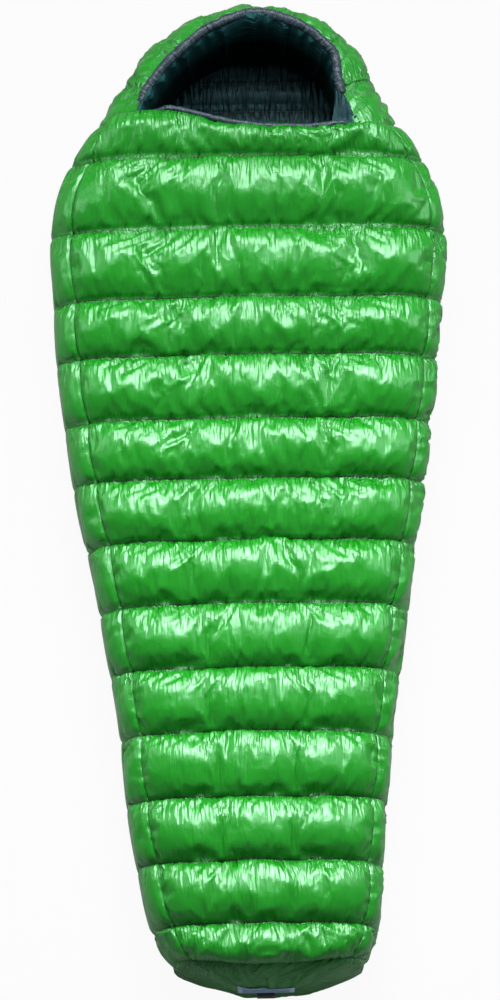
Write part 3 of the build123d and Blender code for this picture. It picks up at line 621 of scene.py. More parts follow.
def quilt(name, rows, columns, outer, inner, stitched_sides=(True, True), ease=None, pressure=None, swell=None, flat_floor=False, edge_slot=0, reach=True):
    """A closed quilted panel. outer and inner give a point from a row and a share across; the outer sheet is filled as cloth."""
    settings = bpy.context.scene.bag_quilt
    width = columns + 1
    bm = bmesh.new()
    bmesh.ops.create_grid(bm, x_segments=columns, y_segments=len(rows) - 1, size=0.5)
    cloth = bm.loops.layers.uv.new("cloth")
    seam = bm.verts.layers.float.new("seam")
    fall = bm.verts.layers.float.new("fall")
    border = bm.verts.layers.float.new("border")
    number = bm.verts.layers.int.new("number")
    order = sorted(bm.verts, key=lambda v: (round(-v.co.y, 5), round(v.co.x, 5)))
    pinned = []
    flat = {}
    lengths = [0.0]
    for a, b in zip(rows, rows[1:]):
        lengths.append(lengths[-1] + abs(a[0] - b[0]))
    ends = {}
    for r, row in enumerate(rows):
        line = [outer(row, c / columns) for c in range(width)]
        girth = sum((b - a).length for a, b in zip(line, line[1:]))
        ends[r] = girth
        for c in range(width):
            v = order[r * width + c]
            v.co = line[c]
            v.index = v[number] = r * width + c
            edge = min(c * stitched_sides[0] or 1e9 * (not stitched_sides[0]), (columns - c) * stitched_sides[1] or 1e9 * (not stitched_sides[1])) * girth / columns
            to_seam = min(row[1], 1 - row[1]) * row[4] if not row[2] else 0.0
            v[seam] = to_seam
            v[border] = edge
            v[fall] = row[1] * row[4]
            flat[v.index] = ((c / columns - 0.5) * girth, -lengths[r])
            if row[2] or c in (0, columns):
                pinned.append(v.index)
    bm.verts.sort()
    for face in bm.faces:
        for loop in face.loops:
            loop[cloth].uv = flat[loop.vert.index]
    piece = new_piece(name)
    bm.to_mesh(piece.data)
    fill_out(piece, pinned, settings.pressure if pressure is None else pressure, settings.ease if ease is None else ease, swell or settings.swell)
    bm.verts.ensure_lookup_table()
    for v, filled in zip(bm.verts, piece.data.vertices):
        v.co = filled.co
        if flat_floor:
            v.co.z = max(v.co.z, 0.0008)
        if reach:
            wide = abs(v.co.x - lean(v.co.y)) - half_width(v.co.y) - contour(v.co.y, v.co.x) + 0.006
            if wide > 0:
                v.co.x -= math.copysign(wide - 0.008 * math.tanh(wide / 0.008), v.co.x - lean(v.co.y))
        high = v.co.z - settings.ceiling + 0.012
        if high > 0:
            v.co.z -= high - 0.012 * math.tanh(high / 0.012)
    bpy.data.objects.remove(piece)
    original = set(bm.verts)
    bmesh.ops.extrude_face_region(bm, geom=bm.faces[:], use_keep_orig=True)
    for v in bm.verts:
        if v not in original:
            r, c = divmod(v[number], width)
            v.co = inner(rows[r], c / columns)
    bmesh.ops.recalc_face_normals(bm, faces=bm.faces[:])
    for face in bm.faces:
        inside = sum(v not in original for v in face.verts)
        face.material_index = 1 if inside == len(face.verts) else (edge_slot if inside else 0)
    piece = mesh_piece(name, bm, ["shell_nylon", "lining_nylon", "hem_binding"])
    return piece


def with_pitch(seams, cell):
    """Rows that also carry the width of their chamber."""
    rows = quilt_rows(seams, cell)
    pitches = [a - b for a, b in zip(seams, seams[1:])] + [seams[-2] - seams[-1]]
    return [(*row, abs(pitches[row[3]])) for row in rows]


def body_outer(spot, neck=False, loft=1.0, edges=(0.0, 0.0)):
    """Where the outer sheet starts: on the girth at a seam, bowed out between seams. edges is how much of the loft stays at each side edge."""
    settings = bpy.context.scene.bag_quilt

    def place(row, t):
        y, part, sewn, number = row[:4]
        point, out = spot(y, t)
        held = min(lerp(edges[0], 1.0, min(1.0, 7.0 * t) ** 0.5), lerp(edges[1], 1.0, min(1.0, 7.0 * (1 - t)) ** 0.5))
        full = lerp(settings.side_loft, settings.loft, max(0.0, out.z) ** 1.5) * loft
        inside = min(1.0, 9.0 * min(t, 1 - t))
        wobble = noise.noise(Vector((point.x * 9, number * 3.7, 0.5))) * 0.0022
        if sewn:
            point.y += wobble
            return point
        slant = point.x * (1 - 0.9 * part)
        fold = abs(noise.noise(Vector((slant * 34, number * 9.1 + part * 0.8, point.z * 20))))
        fold = (0.30 - fold) * 0.011 * math.exp(-5.5 * part) * min(1.0, 12 * part)
        back = noise.noise(Vector((point.x * 40, number * 5.3, 8.0))) * 0.003 * math.exp(-9 * (1 - part))
        point = point + out * (full * bow(part) * held + (fold + back) * inside)
        point.y += wobble * math.exp(-6 * min(part, 1 - part))
        if neck and number == 0:
            point.y += neck_rise(point.x) * (1 - part)
        return point

    return place


def body_inner(spot, neck=False, thick=WALL, edge=0.004):
    """Where the lining lies: a wall's thickness inside the girth, close to the shell at each seam."""

    def place(row, t):
        y, part, sewn, number = row[:4]
        point, out = spot(y, t)
        side = min(1.0, 9.0 * min(t, 1 - t))
        depth = edge + (thick - edge) * (0.35 + 0.65 * bow(part)) * math.sqrt(side) if not sewn else edge + (thick - edge) * 0.35 * side
        crease = noise.noise(Vector((point.x * 38, y * 12, point.z * 38))) * 0.0022
        point = point - out * (depth + crease * side)
        point.z = max(point.z, 0.0045)
        if neck and number == 0:
            point.y += neck_rise(point.x) * (1 - part)
        return point

    return place


def blend_over_fold(piece):
    """Bakes the piece's transform into its mesh."""
    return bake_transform(piece)


class BAG_OT_front(Operator):
    """Make the quilted front, from seam to seam over the top"""

    bl_idname = "sleeping_bag.front"
    bl_label = "Front"

    def execute(self, context):
        settings = context.scene.bag_quilt
        rows = with_pitch((FRONT_NECK_Y, *SEAMS, FOOT_SEAM_Y), settings.cell)
        columns = round(0.74 / (settings.cell * 0.72))
        piece = quilt("front_quilt", rows, columns, body_outer(front_spot, neck=True, edges=(1.85, 1.85)), body_inner(front_spot, neck=True))
        front = ["front_shell", "front_fill", "front_lining", "front_baffle_walls"]
        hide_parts(*front, *[n.replace("front", "flap") for n in front])
        blend_over_fold(piece)
        return {"FINISHED"}


class BAG_OT_sides(Operator):
    """Make the quilted sides: the left one whole, the right one above and below the zip"""

    bl_idname = "sleeping_bag.sides"
    bl_label = "Sides"

    def execute(self, context):
        cell = context.scene.bag_quilt.cell * 1.35
        rows = with_pitch((NECK_Y, *SEAMS, FOOT_SEAM_Y), cell)
        left = strip_spot(-1, "floor", "left")
        piece = quilt("left_side_quilt", rows, round(0.29 / cell), body_outer(left, edges=(0.0, 1.85)), body_inner(left), flat_floor=True)
        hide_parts("left_side_shell", "left_side_fill", "left_side_lining")
        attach(piece, "bag")
        upper = strip_spot(1, "right", "high")
        front_rows = with_pitch((FRONT_NECK_Y, *SEAMS, FOOT_SEAM_Y), cell)
        piece = quilt("right_front_side_quilt", front_rows, round(0.10 / cell), body_outer(upper, edges=(1.85, 0.1)), body_inner(upper))
        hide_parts("front_side_shell", "front_side_fill", "front_side_lining", "flap_side_shell", "flap_side_fill", "flap_side_lining")
        blend_over_fold(piece)
        lower = strip_spot(1, "low", "floor")
        piece = quilt("right_side_quilt", rows, round(0.17 / cell), body_outer(lower, edges=(0.1, 0.0)), body_inner(lower), flat_floor=True)
        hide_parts("right_side_shell", "right_side_fill", "right_side_lining")
        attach(piece, "bag")
        return {"FINISHED"}


class BAG_OT_back(Operator):
    """Make the quilted back, flattened where it lies on the floor"""

    bl_idname = "sleeping_bag.back"
    bl_label = "Back"

    def execute(self, context):
        cell = context.scene.bag_quilt.cell * 2.4
        rows = with_pitch((NECK_Y, *SEAMS, FOOT_SEAM_Y), cell)
        outer = body_outer(back_spot, loft=0.4)
        piece = quilt("back_quilt", rows, round(0.6 / cell), outer, body_inner(back_spot, thick=0.022), pressure=0, flat_floor=True)
        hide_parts("back_shell", "back_fill", "back_lining", "back_baffle_walls")
        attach(piece, "bag")
        return {"FINISHED"}


# ---------------------------------------------------------------- foot


def foot_loop(count):
    """The girth at the foot seam as one closed loop of points, with the way out at each."""
    spots = []
    for i in range(count):
        turn = 2 * (i / count)
        side, share = (1, turn) if turn < 1 else (-1, 2 - turn)
        spots.append(girth_spot(round(FOOT_SEAM_Y, 6), side, share))
    return spots


class BAG_OT_foot(Operator):
    """Make the padded foot end, drawn into a puckered seam"""

    bl_idname = "sleeping_bag.foot"
    bl_label = "Foot end"

    def execute(self, context):
        count, rings, depth = 200, 22, 0.036
        loop = foot_loop(count)
        centre = Vector((lean(FOOT_SEAM_Y), FOOT_SEAM_Y, MIDDLE))
        bm = bmesh.new()
        cloth = bm.loops.layers.uv.new("cloth")
        seam = bm.verts.layers.float.new("seam")
        fall = bm.verts.layers.float.new("fall")
        ring = bmesh.ops.create_circle(bm, segments=count, radius=1.0)["verts"]
        ring.sort(key=lambda v: math.atan2(v.co.y, v.co.x) % (2 * math.pi))
        edges = bm.edges[:]
        shape = []
        for k in range(rings + 1):
            out = 1 - k / (rings + 1)
            line = []
            for point, _ in loop:
                spot = centre.lerp(point, out)
                swell = (1 - out**2.2) ** 0.62
                low = 1.0 - 0.35 * smooth((0.05 - spot.z) / 0.05)
                pucker = noise.noise(Vector((point.x * 45, point.z * 45, 2.2))) * 0.006 * math.exp(-7 * (1 - out))
                spot.y = FOOT_SEAM_Y + toe_round(spot.x - centre.x, FOOT_SEAM_Y) - depth * swell * low - (pucker if k else 0)
                line.append(spot)
            shape.append(line)
        for v, spot in zip(ring, shape[0]):
            v.co = spot
        rows = [ring]
        for line in shape[1:]:
            made = bmesh.ops.extrude_edge_only(bm, edges=edges)["geom"]
            edges = [g for g in made if isinstance(g, bmesh.types.BMEdge)]
            fresh = {}
            for g in made:
                if isinstance(g, bmesh.types.BMFace):
                    continue
            new_verts = {g for g in made if isinstance(g, bmesh.types.BMVert)}
            edges = [e for e in edges if e.verts[0] in new_verts and e.verts[1] in new_verts]
            previous = {v: i for i, v in enumerate(rows[-1])}
            for v in new_verts:
                mate = next(e.other_vert(v) for e in v.link_edges if e.other_vert(v) in previous)
                fresh[previous[mate]] = v
            ring = [fresh[i] for i in range(count)]
            for v, spot in zip(ring, line):
                v.co = spot
            rows.append(ring)
        bmesh.ops.contextual_create(bm, geom=edges)
        for line in rows:
            for v in line:
                v[fall] = 0.2
        for k, line in enumerate(rows):
            for v in line:
                v[seam] = 0.15 * k / rings
                v[fall] = v[seam]
        for face in bm.faces:
            for item in face.loops:
                off = item.vert.co - centre
                item[cloth].uv = (math.atan2(off.z, off.x) * math.hypot(off.z, off.x), item.vert[seam])
        piece = new_piece("foot")
        bm.verts.index_update()
        bm.to_mesh(piece.data)
        fill_out(piece, [v.index for v in rows[0]], 3.0, 0.06, 0.010)
        bm.verts.ensure_lookup_table()
        for v, filled in zip(bm.verts, piece.data.vertices):
            v.co = filled.co
            v.co.z = max(0.001, v.co.z)
            v.co.y = max(-1.0300, v.co.y)
        bpy.data.objects.remove(piece)
        original = set(bm.verts)
        bmesh.ops.extrude_face_region(bm, geom=bm.faces[:], use_keep_orig=True)
        for v in bm.verts:
            if v not in original:
                v.co.y += 0.004 + 0.018 * min(1.0, v[seam] / 0.03)
                v.co.z = MIDDLE + (v.co.z - MIDDLE) * 0.96
                v.co.x *= 0.97
        bmesh.ops.recalc_face_normals(bm, faces=bm.faces[:])
        for face in bm.faces:
            face.material_index = int(all(v not in original for v in face.verts))
        piece = mesh_piece("foot_end_quilt", bm, ["shell_nylon", "lining_nylon"])
        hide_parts("foot_end_shell", "foot_end_fill", "foot_end_lining")
        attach(piece, "bag")
        return {"FINISHED"}


# ---------------------------------------------------------------- hood


@functools.lru_cache(maxsize=1)
def hood_line():
    """The hood's plan from its right neck corner over the crown to the left: fine points and shares of its length."""
    right = [Vector((x, y)) for x, y in HOOD_PLAN]
    left = [Vector((-x, y)) for x, y in reversed(HOOD_PLAN)]
    corners = right + left
    first = corners[0] + (corners[0] - corners[1]) * 0.9 + Vector((0.012, 0))
    last = Vector((-first.x, first.y))
    knots = [first, *corners, last]
    points = []
    for a, b, c, d in zip(knots, knots[1:], knots[2:], knots[3:]):
        for i in range(16):
            t = i / 16
            points.append(0.5 * ((2 * b) + (c - a) * t + (2 * a - 5 * b + 4 * c - d) * t**2 + (3 * b - a - 3 * c + d) * t**3))
    points.append(corners[-1])
    lengths = [0.0]
    for a, b in zip(points, points[1:]):
        lengths.append(lengths[-1] + (b - a).length)
    return points, [v / lengths[-1] for v in lengths], lengths[-1]


def hood_spot(t):
    """The plan point at that share of the hood's outline, and the way in."""
    points, shares, _ = hood_line()
    i = min(len(points) - 2, max(0, bisect.bisect_right(shares, t) - 1))
    run = (t - shares[i]) / max(1e-9, shares[i + 1] - shares[i])
    a, b = points[max(0, i - 1)], points[min(len(points) - 1, i + 2)]
    along = (b - a).normalized()
    plan = points[i].lerp(points[i + 1], run)
    return plan + Vector((lean(plan.y), 0)), Vector((-along.y, along.x))


def crownward(t):
    """0 at the neck corners and 1 over the crown."""
    return smooth(1 - abs(2 * t - 1))


def rim_in(t):
    """How far in from the outline the rim lies."""
    place = min(0.99999, max(0.0, t)) * (len(RIM_IN) - 1)
    i = int(place)
    return lerp(RIM_IN[i], RIM_IN[i + 1], smooth(place - i))


def hood_skin(t, q):
    """A point of the hood's outer side, from the floor seam to the rim, and the way out."""
    plan, inward = hood_spot(t)
    crown = crownward(t)
    top_depth = lerp(TOP_DEPTH, 0.085, crown)
    floor_depth = lerp(FLOOR_DEPTH, 0.065, crown)
    rise = lerp(0.103, 0.116, crown)
    full = math.acos(min(1.0, max(0.0, (1 - (rim_in(t) - PINCH) / top_depth)) ** (ROUNDNESS / 2)))

    def at(q):
        angle = lerp(-math.pi / 2, full, q)
        if angle < 0:
            depth, drop = round_corner(floor_depth, FLOOR_DROP, -angle)
            return depth + PINCH, MIDDLE - drop
        depth, up = round_corner(top_depth, rise, angle)
        return depth + PINCH, MIDDLE + up

    depth, z = at(q)
    d0, z0 = at(max(0.0, q - 0.02))
    d1, z1 = at(min(1.0, q + 0.02))
    plan = plan + inward * depth
    slope = Vector((z1 - z0, d1 - d0)).normalized()
    out = Vector((-inward.x * slope.x, -inward.y * slope.x, slope.y))
    return Vector((plan.x, plan.y, z)), out


HOOD_SEAMS = (0.0, 0.13, 0.27, 0.40, 0.50, 0.60, 0.73, 0.87, 1.0)


def hood_pleat(t, depth):
    """Gathers of the lining under the rim: uneven soft pleats that die away with depth."""
    drift = noise.noise(Vector((t * 9, 3.1, 0))) * 0.9
    wave = abs(math.sin(math.pi * (t * 19 + drift)))
    fine = noise.noise(Vector((t * 85, depth * 2.5, 7.7)))
    fade = math.exp(-1.5 * depth) * min(1.0, 5 * depth)
    return (1 - wave) * 0.015 * fade + fine * 0.004 * min(1.0, 4 * depth) * math.exp(-1.2 * depth)


class BAG_OT_hood(Operator):
    """Make the hood: its quilted wall with a pleated lining, and its floor"""

    bl_idname = "sleeping_bag.hood"
    bl_label = "Hood"

    def execute(self, context):
        settings = context.scene.bag_quilt
        cell = settings.cell
        length = hood_line()[2]
        rows = with_pitch([-s for s in HOOD_SEAMS], cell / length)
        rows = [(*row[:4], row[4] * length) for row in rows]

        def outer(row, q):
            t = -row[0]
            part, sewn, number = row[1:4]
            point, out = hood_skin(t, q)
            side = min(1.0, 6.0 * min(q, 1 - q))
            rise = (0.0075 if sewn else 0.003 + 0.0025 * bow(part)) * math.sqrt(side)
            crease = (0.3 - abs(noise.noise(Vector((t * 30 + q * 7, q * 2, 2.0))))) * 0.010
            crease += noise.noise(Vector((t * 70 - q * 9, q * 4, 4.0))) * 0.002
            if 0 < t < 1:
                point = point + out * (rise + crease * side)
            return point

        def inner(row, q):
            t = -row[0]
            plan, inward = hood_spot(t)
            depth = 1 - q
            ends = min(1.0, 12 * min(t, 1 - t))
            reach = lerp(rim_in(t) + 0.004, 0.088, depth**0.62)
            top = RIM_HEIGHT - 0.010
            spot = plan + inward * (reach + hood_pleat(t, depth * 3) * ends)
            return Vector((spot.x, spot.y, lerp(top, 0.0235, depth**1.15)))

        piece = quilt("hood_quilt", rows, round(0.27 / cell), outer, inner, flat_floor=True, ease=0.07, pressure=2.2, swell=0.009, edge_slot=1, reach=False)
        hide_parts("hood_shell", "hood_lining", "hood_fill", "hood_baffle_walls")
        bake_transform(piece)

        crown_y = max(hood_spot(i / 40)[0].y for i in range(41)) - FLOOR_SEAM_IN
        floor_rows = with_pitch((crown_y, 0.905, 0.845, 0.7870), cell * 2.2)

        def floor_point(row, t, z):
            line = [hood_spot(i / 60) for i in range(31)]
            edge = [p + n * (FLOOR_SEAM_IN - 0.004) for p, n in line]
            x = edge[-1].x
            for a, b in zip(edge, edge[1:]):
                if min(a.y, b.y) <= row[0] <= max(a.y, b.y):
                    x = lerp(a.x, b.x, (row[0] - a.y) / (b.y - a.y or 1e-9))
                    break
            x = max(0.02, abs(x))
            return Vector((lerp(-x, x, t), row[0], z))

        def under(row, t):
            side = min(1.0, 7 * min(t, 1 - t))
            return floor_point(row, t, 0.005 - 0.004 * bow(row[1]) * side)

        def over(row, t):
            side = min(1.0, 7 * min(t, 1 - t))
            return floor_point(row, t, 0.016 + 0.007 * bow(row[1]) * side)

        piece = quilt("hood_floor_quilt", floor_rows, 30, under, over, pressure=0, flat_floor=True, edge_slot=1, reach=False)
        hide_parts("hood_floor_shell", "hood_floor_fill", "hood_floor_lining")
        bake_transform(piece)
        return {"FINISHED"}


def swept(name, points, radius, slots, sides=8, resolution=4, shape=None, cyclic=False):
    """A tube of cloth swept along points, closed at its ends; shape(share along, point, out) moves each of its points."""
    curve = bpy.data.curves.new(name, "CURVE")
    curve.dimensions = "3D"
    curve.bevel_depth = radius
    curve.bevel_resolution = sides // 2
    curve.use_fill_caps = True
    spline = curve.splines.new("NURBS")
    spline.points.add(len(points) - 1)
    for spot, point in zip(spline.points, points):
        spot.co = (*point, 1)
    spline.order_u = 3
    spline.use_endpoint_u = not cyclic
    spline.use_cyclic_u = cyclic
    spline.resolution_u = resolution
    holder = new_piece(name + "_path", curve)
    mesh = bpy.data.meshes.new_from_object(holder.evaluated_get(bpy.context.evaluated_depsgraph_get()))
    bpy.data.objects.remove(holder)
    bm = bmesh.new()
    bm.from_mesh(mesh)
    bmesh.ops.remove_doubles(bm, verts=bm.verts[:], dist=1e-6)
    bmesh.ops.recalc_face_normals(bm, faces=bm.faces[:])
    bm.normal_update()
    cloth = bm.loops.layers.uv.get("cloth") or bm.loops.layers.uv.new("cloth")
    line = [Vector(p) for p in points]
    marks = [0.0]
    for a, b in zip(line, line[1:]):
        marks.append(marks[-1] + (b - a).length)

    def along(co):
        best = (1e9, 0.0)
        for i, (a, b) in enumerate(zip(line, line[1:])):
            run = b - a
            t = min(1.0, max(0.0, (co - a).dot(run) / run.length_squared))
            gap = (co - a - run * t).length
            if gap < best[0]:
                best = (gap, marks[i] + run.length * t)
        return best[1]

    places = {v: along(v.co) for v in bm.verts}
    normals = {v: v.normal.copy() for v in bm.verts}
    for face in bm.faces:
        for loop in face.loops:
            n = normals[loop.vert]
            loop[cloth].uv = (places[loop.vert], math.atan2(n.z, n.x + n.y) * radius)
    if shape:
        for v in bm.verts:
            v.co = shape(places[v], v.co, normals[v])
    return mesh_piece(name, bm, slots)


def rim_point(t, lift=0.004, inward=0.002):
    """On the rim of the hood."""
    plan, way = hood_spot(t)
    skin, _ = hood_skin(t, 1.0)
    plan = plan + way * (rim_in(t) + inward)
    return Vector((plan.x, plan.y, skin.z + lift))


def rim_share(y, right):
    """The share of the hood's outline where the rim passes y."""
    shares = [i / 400 for i in range(201)]
    near = min(shares, key=lambda t: abs(rim_point(t).y - y))
    return near if right else 1 - near


class BAG_OT_rim(Operator):
    """Make the hood's gathered rim with its drawcord, eyelet and facing"""

    bl_idname = "sleeping_bag.rim"
    bl_label = "Hood rim"

    def execute(self, context):
        start, end = rim_share(0.838, True), rim_share(0.818, False)
        count = 150
        path = [rim_point(lerp(start, end, i / count)) for i in range(count + 1)]

        def pucker(s, co, out):
            across = 1 + 0.16 * noise.noise(Vector((s * 130, out.x, out.z * 1.3)))
            across += 0.10 * noise.noise(Vector((s * 300, out.y * 2, out.z * 2)))
            drop = 0.0012 * noise.noise(Vector((s * 60, 1.0, 2.0)))
            return co + out * 0.0098 * (across - 1) * 1.6 + Vector((0, 0, drop - out.z * 0.0012))

        piece = swept("hood_rim_tunnel", path, 0.0098, ["hem_binding"], sides=12, resolution=2, shape=pucker)
        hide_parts("hood_hem_tunnel")
        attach(piece, "hood")

        cord = bpy.data.curves.new("hood_drawcord", "CURVE")
        cord.dimensions = "3D"
        cord.bevel_depth = 0.0016
        cord.bevel_resolution = 2
        spline = cord.splines.new("NURBS")
        inside = [rim_point(lerp(start, end, i / 20)) for i in range(1, 20)]
        spline.points.add(len(inside) - 1)
        for spot, point in zip(spline.points, inside):
            spot.co = (*point, 1)
        spline.order_u = 3
        spline.use_endpoint_u = True
        cord.use_fill_caps = True
        cord.materials.append(finish_of("cord"))
        piece = new_piece("drawcord", cord)
        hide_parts("hood_drawcord")
        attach(piece, "hood")

        bm = bmesh.new()
        ring = bmesh.ops.create_circle(bm, segments=10, radius=0.0011)["verts"]
        bmesh.ops.translate(bm, verts=ring, vec=(0.0052, 0, 0))
        bmesh.ops.spin(bm, geom=bm.edges[:], cent=(0, 0, 0), axis=(0, 1, 0), angle=2 * math.pi, steps=32, use_merge=True, use_duplicate=False)
        for v in bm.verts:
            v.co = Vector((v.co.x, v.co.y, v.co.z))
        bmesh.ops.remove_doubles(bm, verts=bm.verts[:], dist=1e-6)
        bmesh.ops.recalc_face_normals(bm, faces=bm.faces[:])
        way = (path[0] - path[3]).normalized()
        turn = Vector((0, 1, 0)).rotation_difference(way).to_matrix().to_4x4()
        bmesh.ops.transform(bm, matrix=Matrix.Translation(path[0] + way * 0.0005) @ turn, verts=bm.verts[:])
        piece = mesh_piece("rim_eyelet", bm, ["zip_metal"])
        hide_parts("drawcord_eyelet")
        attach(piece, "hood")

        top = rim_point(rim_share(0.850, True), lift=0.0, inward=0.006)
        low_in, low_out = Vector((0.172, 0.768, 0.200)), Vector((0.236, 0.776, 0.192))
        bm = bmesh.new()
        cloth = bm.loops.layers.uv.new("cloth")
        bmesh.ops.create_grid(bm, x_segments=14, y_segments=22, size=0.5)
        for v in bm.verts:
            u, w = v.co.x + 0.5, v.co.y + 0.5
            wide = 0.2 + 0.8 * w**1.4
            middle = top.lerp(low_in.lerp(low_out, 0.5), w)
            v.co = middle + (low_out - low_in) * (u - 0.5) * wide
            v.co.z += 0.010 * math.sin(math.pi * u) * math.sin(math.pi * min(1.0, w + 0.15)) + 0.0025 * noise.noise(Vector((u * 5, w * 2, 6)))
        for face in bm.faces:
            for loop in face.loops:
                loop[cloth].uv = (loop.vert.co.x, loop.vert.co.y)
        bmesh.ops.recalc_face_normals(bm, faces=bm.faces[:])
        if sum(f.normal.z for f in bm.faces) < 0:
            bmesh.ops.reverse_faces(bm, faces=bm.faces[:])
        piece = mesh_piece("neck_facing_strip", bm, ["lining_nylon"])
        wall = piece.modifiers.new("thickness", "SOLIDIFY")
        wall.thickness = 0.0015
        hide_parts("neck_facing")
        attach(piece, "hood")
        return {"FINISHED"}


class BAG_OT_neck_hem(Operator):
    """Make the puckered hem along the front's neck edge"""

    bl_idname = "sleeping_bag.neck_hem"
    bl_label = "Neck hem"

    def execute(self, context):
        path = []
        for i in range(161):
            t = lerp(0.115, 0.90, i / 160)
            point, out = front_spot(FRONT_NECK_Y, t)
            point.y += neck_rise(point.x) + 0.002
            tuck = 0.014 * (smooth((0.21 - t) / 0.09) + smooth((t - 0.84) / 0.06))
            path.append(point + out * (0.006 - tuck) + Vector((0, 0.002 - tuck * 0.8, 0)))

        def pucker(s, co, out):
            across = 0.20 * noise.noise(Vector((s * 120, out.y, out.z * 1.3))) + 0.12 * noise.noise(Vector((s * 280, out.y * 2, 5)))
            return co + out * 0.0065 * across + Vector((0, out.y * 0.0005, 0))

        piece = swept("front_hem", path, 0.0062, ["hem_binding"], sides=12, resolution=2, shape=pucker)
        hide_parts("front_neck_hem", "flap_neck_hem")
        blend_over_fold(piece)
        return {"FINISHED"}


# ---------------------------------------------------------------- zip


def zip_spot(s):
    """A point of the zip's line a length s from its top, and the way along it."""
    point, way = zip_line(s)
    return point + Vector((lean(point.y), 0, 0)), way


def zip_line(s):
    """The same before the bag's lean."""
    arc = ZIP_RADIUS * (ZIP_TOP + TAPER)
    if s < arc:
        angle = ZIP_TOP - s / ZIP_RADIUS
        point = Vector((SHOULDER[0] + ZIP_RADIUS * math.cos(angle), SHOULDER[1] + ZIP_RADIUS * math.sin(angle), ZIP_Z))
        return point, Vector((math.sin(angle), -math.cos(angle), 0))
    corner = Vector((SHOULDER[0] + ZIP_RADIUS * math.cos(TAPER), SHOULDER[1] - ZIP_RADIUS * math.sin(TAPER), ZIP_Z))
    way = Vector((-math.sin(TAPER), -math.cos(TAPER), 0))
    return corner + way * (s - arc), way


def zip_length():
    arc = ZIP_RADIUS * (ZIP_TOP + TAPER)
    return arc + (SHOULDER[1] - ZIP_RADIUS * math.sin(TAPER) - ZIP_FOOT_Y) / math.cos(TAPER)


class BAG_OT_zip(Operator):
    """Make the zip's tapes and coil teeth"""

    bl_idname = "sleeping_bag.zip"
    bl_label = "Zip"

    def execute(self, context):
        length = zip_length()
        for name, low, high, body in (("zip_tape_lower", 0.081, 0.0985, "bag"), ("zip_tape_upper", 0.1015, 0.119, "flap")):
            bm = bmesh.new()
            bmesh.ops.create_grid(bm, x_segments=260, y_segments=5, size=0.5)
            for v in bm.verts:
                point, way = zip_spot((v.co.x + 0.5) * length)
                out = Vector((-way.y, way.x, 0))
                z = lerp(low, high, v.co.y + 0.5)
                v.co = point + out * (0.0015 - 0.004 * abs(z - ZIP_Z) / 0.018) + Vector((0, 0, z - ZIP_Z))
            bmesh.ops.recalc_face_normals(bm, faces=bm.faces[:])
            bmesh.ops.solidify(bm, geom=bm.faces[:], thickness=0.0008)
            bmesh.ops.recalc_face_normals(bm, faces=bm.faces[:])
            piece = mesh_piece(name, bm, ["zip_tape"])
            if body == "bag":
                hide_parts("zip_tape_back")
                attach(piece, "bag")
            else:
                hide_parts("zip_tape_front", "zip_tape_flap")
                blend_over_fold(piece)
        pitch = 0.0032
        for name, shift, rise, nodes in (("zip_teeth_lower", 0.0, -1, ["zip_coil_back"]), ("zip_teeth_upper", 0.5, 1, ["zip_coil_front", "zip_coil_flap"])):
            bm = bmesh.new()
            made = bmesh.ops.create_cube(bm, size=1.0)["verts"]
            bmesh.ops.scale(bm, vec=(0.0013, 0.0022, 0.0046), verts=made)
            bmesh.ops.bevel(bm, geom=bm.edges[:], offset=0.0004, segments=1, affect="EDGES", profile=0.5, material=-1)
            tooth = bpy.data.meshes.new("tooth")
            bm.to_mesh(tooth)
            bm.free()
            bm = bmesh.new()
            for i in range(int(length / pitch)):
                point, way = zip_spot((i + shift) * pitch)
                out = Vector((-way.y, way.x, 0))
                turn = Matrix((way, out, Vector((0, 0, 1)))).transposed().to_4x4()
                before = len(bm.verts)
                bm.from_mesh(tooth)
                bm.verts.ensure_lookup_table()
                place = Matrix.Translation(point + out * 0.0022 + Vector((0, 0, rise * 0.0014))) @ turn
                bmesh.ops.transform(bm, matrix=place, verts=bm.verts[before:])
            bpy.data.meshes.remove(tooth)
            piece = mesh_piece(name, bm, ["zip_coil"])
            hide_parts(*nodes)
            if rise < 0:
                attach(piece, "bag")
            else:
                blend_over_fold(piece)
        return {"FINISHED"}


class BAG_OT_draft_tube(Operator):
    """Make the padded draft tube behind the zip and the panel that closes the side below it"""

    bl_idname = "sleeping_bag.draft_tube"
    bl_label = "Draft tube"

    def execute(self, context):
        length = zip_length()
        path = []
        for i in range(121):
            point, way = zip_spot(0.012 + (length - 0.03) * i / 120)
            out = Vector((-way.y, way.x, 0))
            path.append(point - out * 0.0245)

        def plump(s, co, out):
            tuck = abs(math.sin(math.pi * s / 0.131))
            co = co + out * 0.012 * (0.25 * tuck**0.5 - 0.2 + 0.12 * noise.noise(Vector((s * 40, out.x * 2, out.z * 2))))
            co.z = ZIP_Z + (co.z - ZIP_Z) * 1.9
            return co

        piece = swept("draft_tube_padding", path, 0.0115, ["lining_nylon"], sides=12, resolution=2, shape=plump)
        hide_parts("draft_tube")
        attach(piece, "bag")

        cell = context.scene.bag_quilt.cell * 1.35
        seams = (-0.713, *[y for y in SEAMS if y < -0.713], FOOT_SEAM_Y)
        rows = with_pitch(seams, cell)
        spot = strip_spot(1, "high", "low")
        piece = quilt("side_gusset", rows, 6, body_outer(spot, loft=0.9, edges=(0.1, 0.1)), body_inner(spot), pressure=0)
        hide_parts("side_panel_below_zip")
        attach(piece, "bag")
        return {"FINISHED"}


# ---------------------------------------------------------------- trims


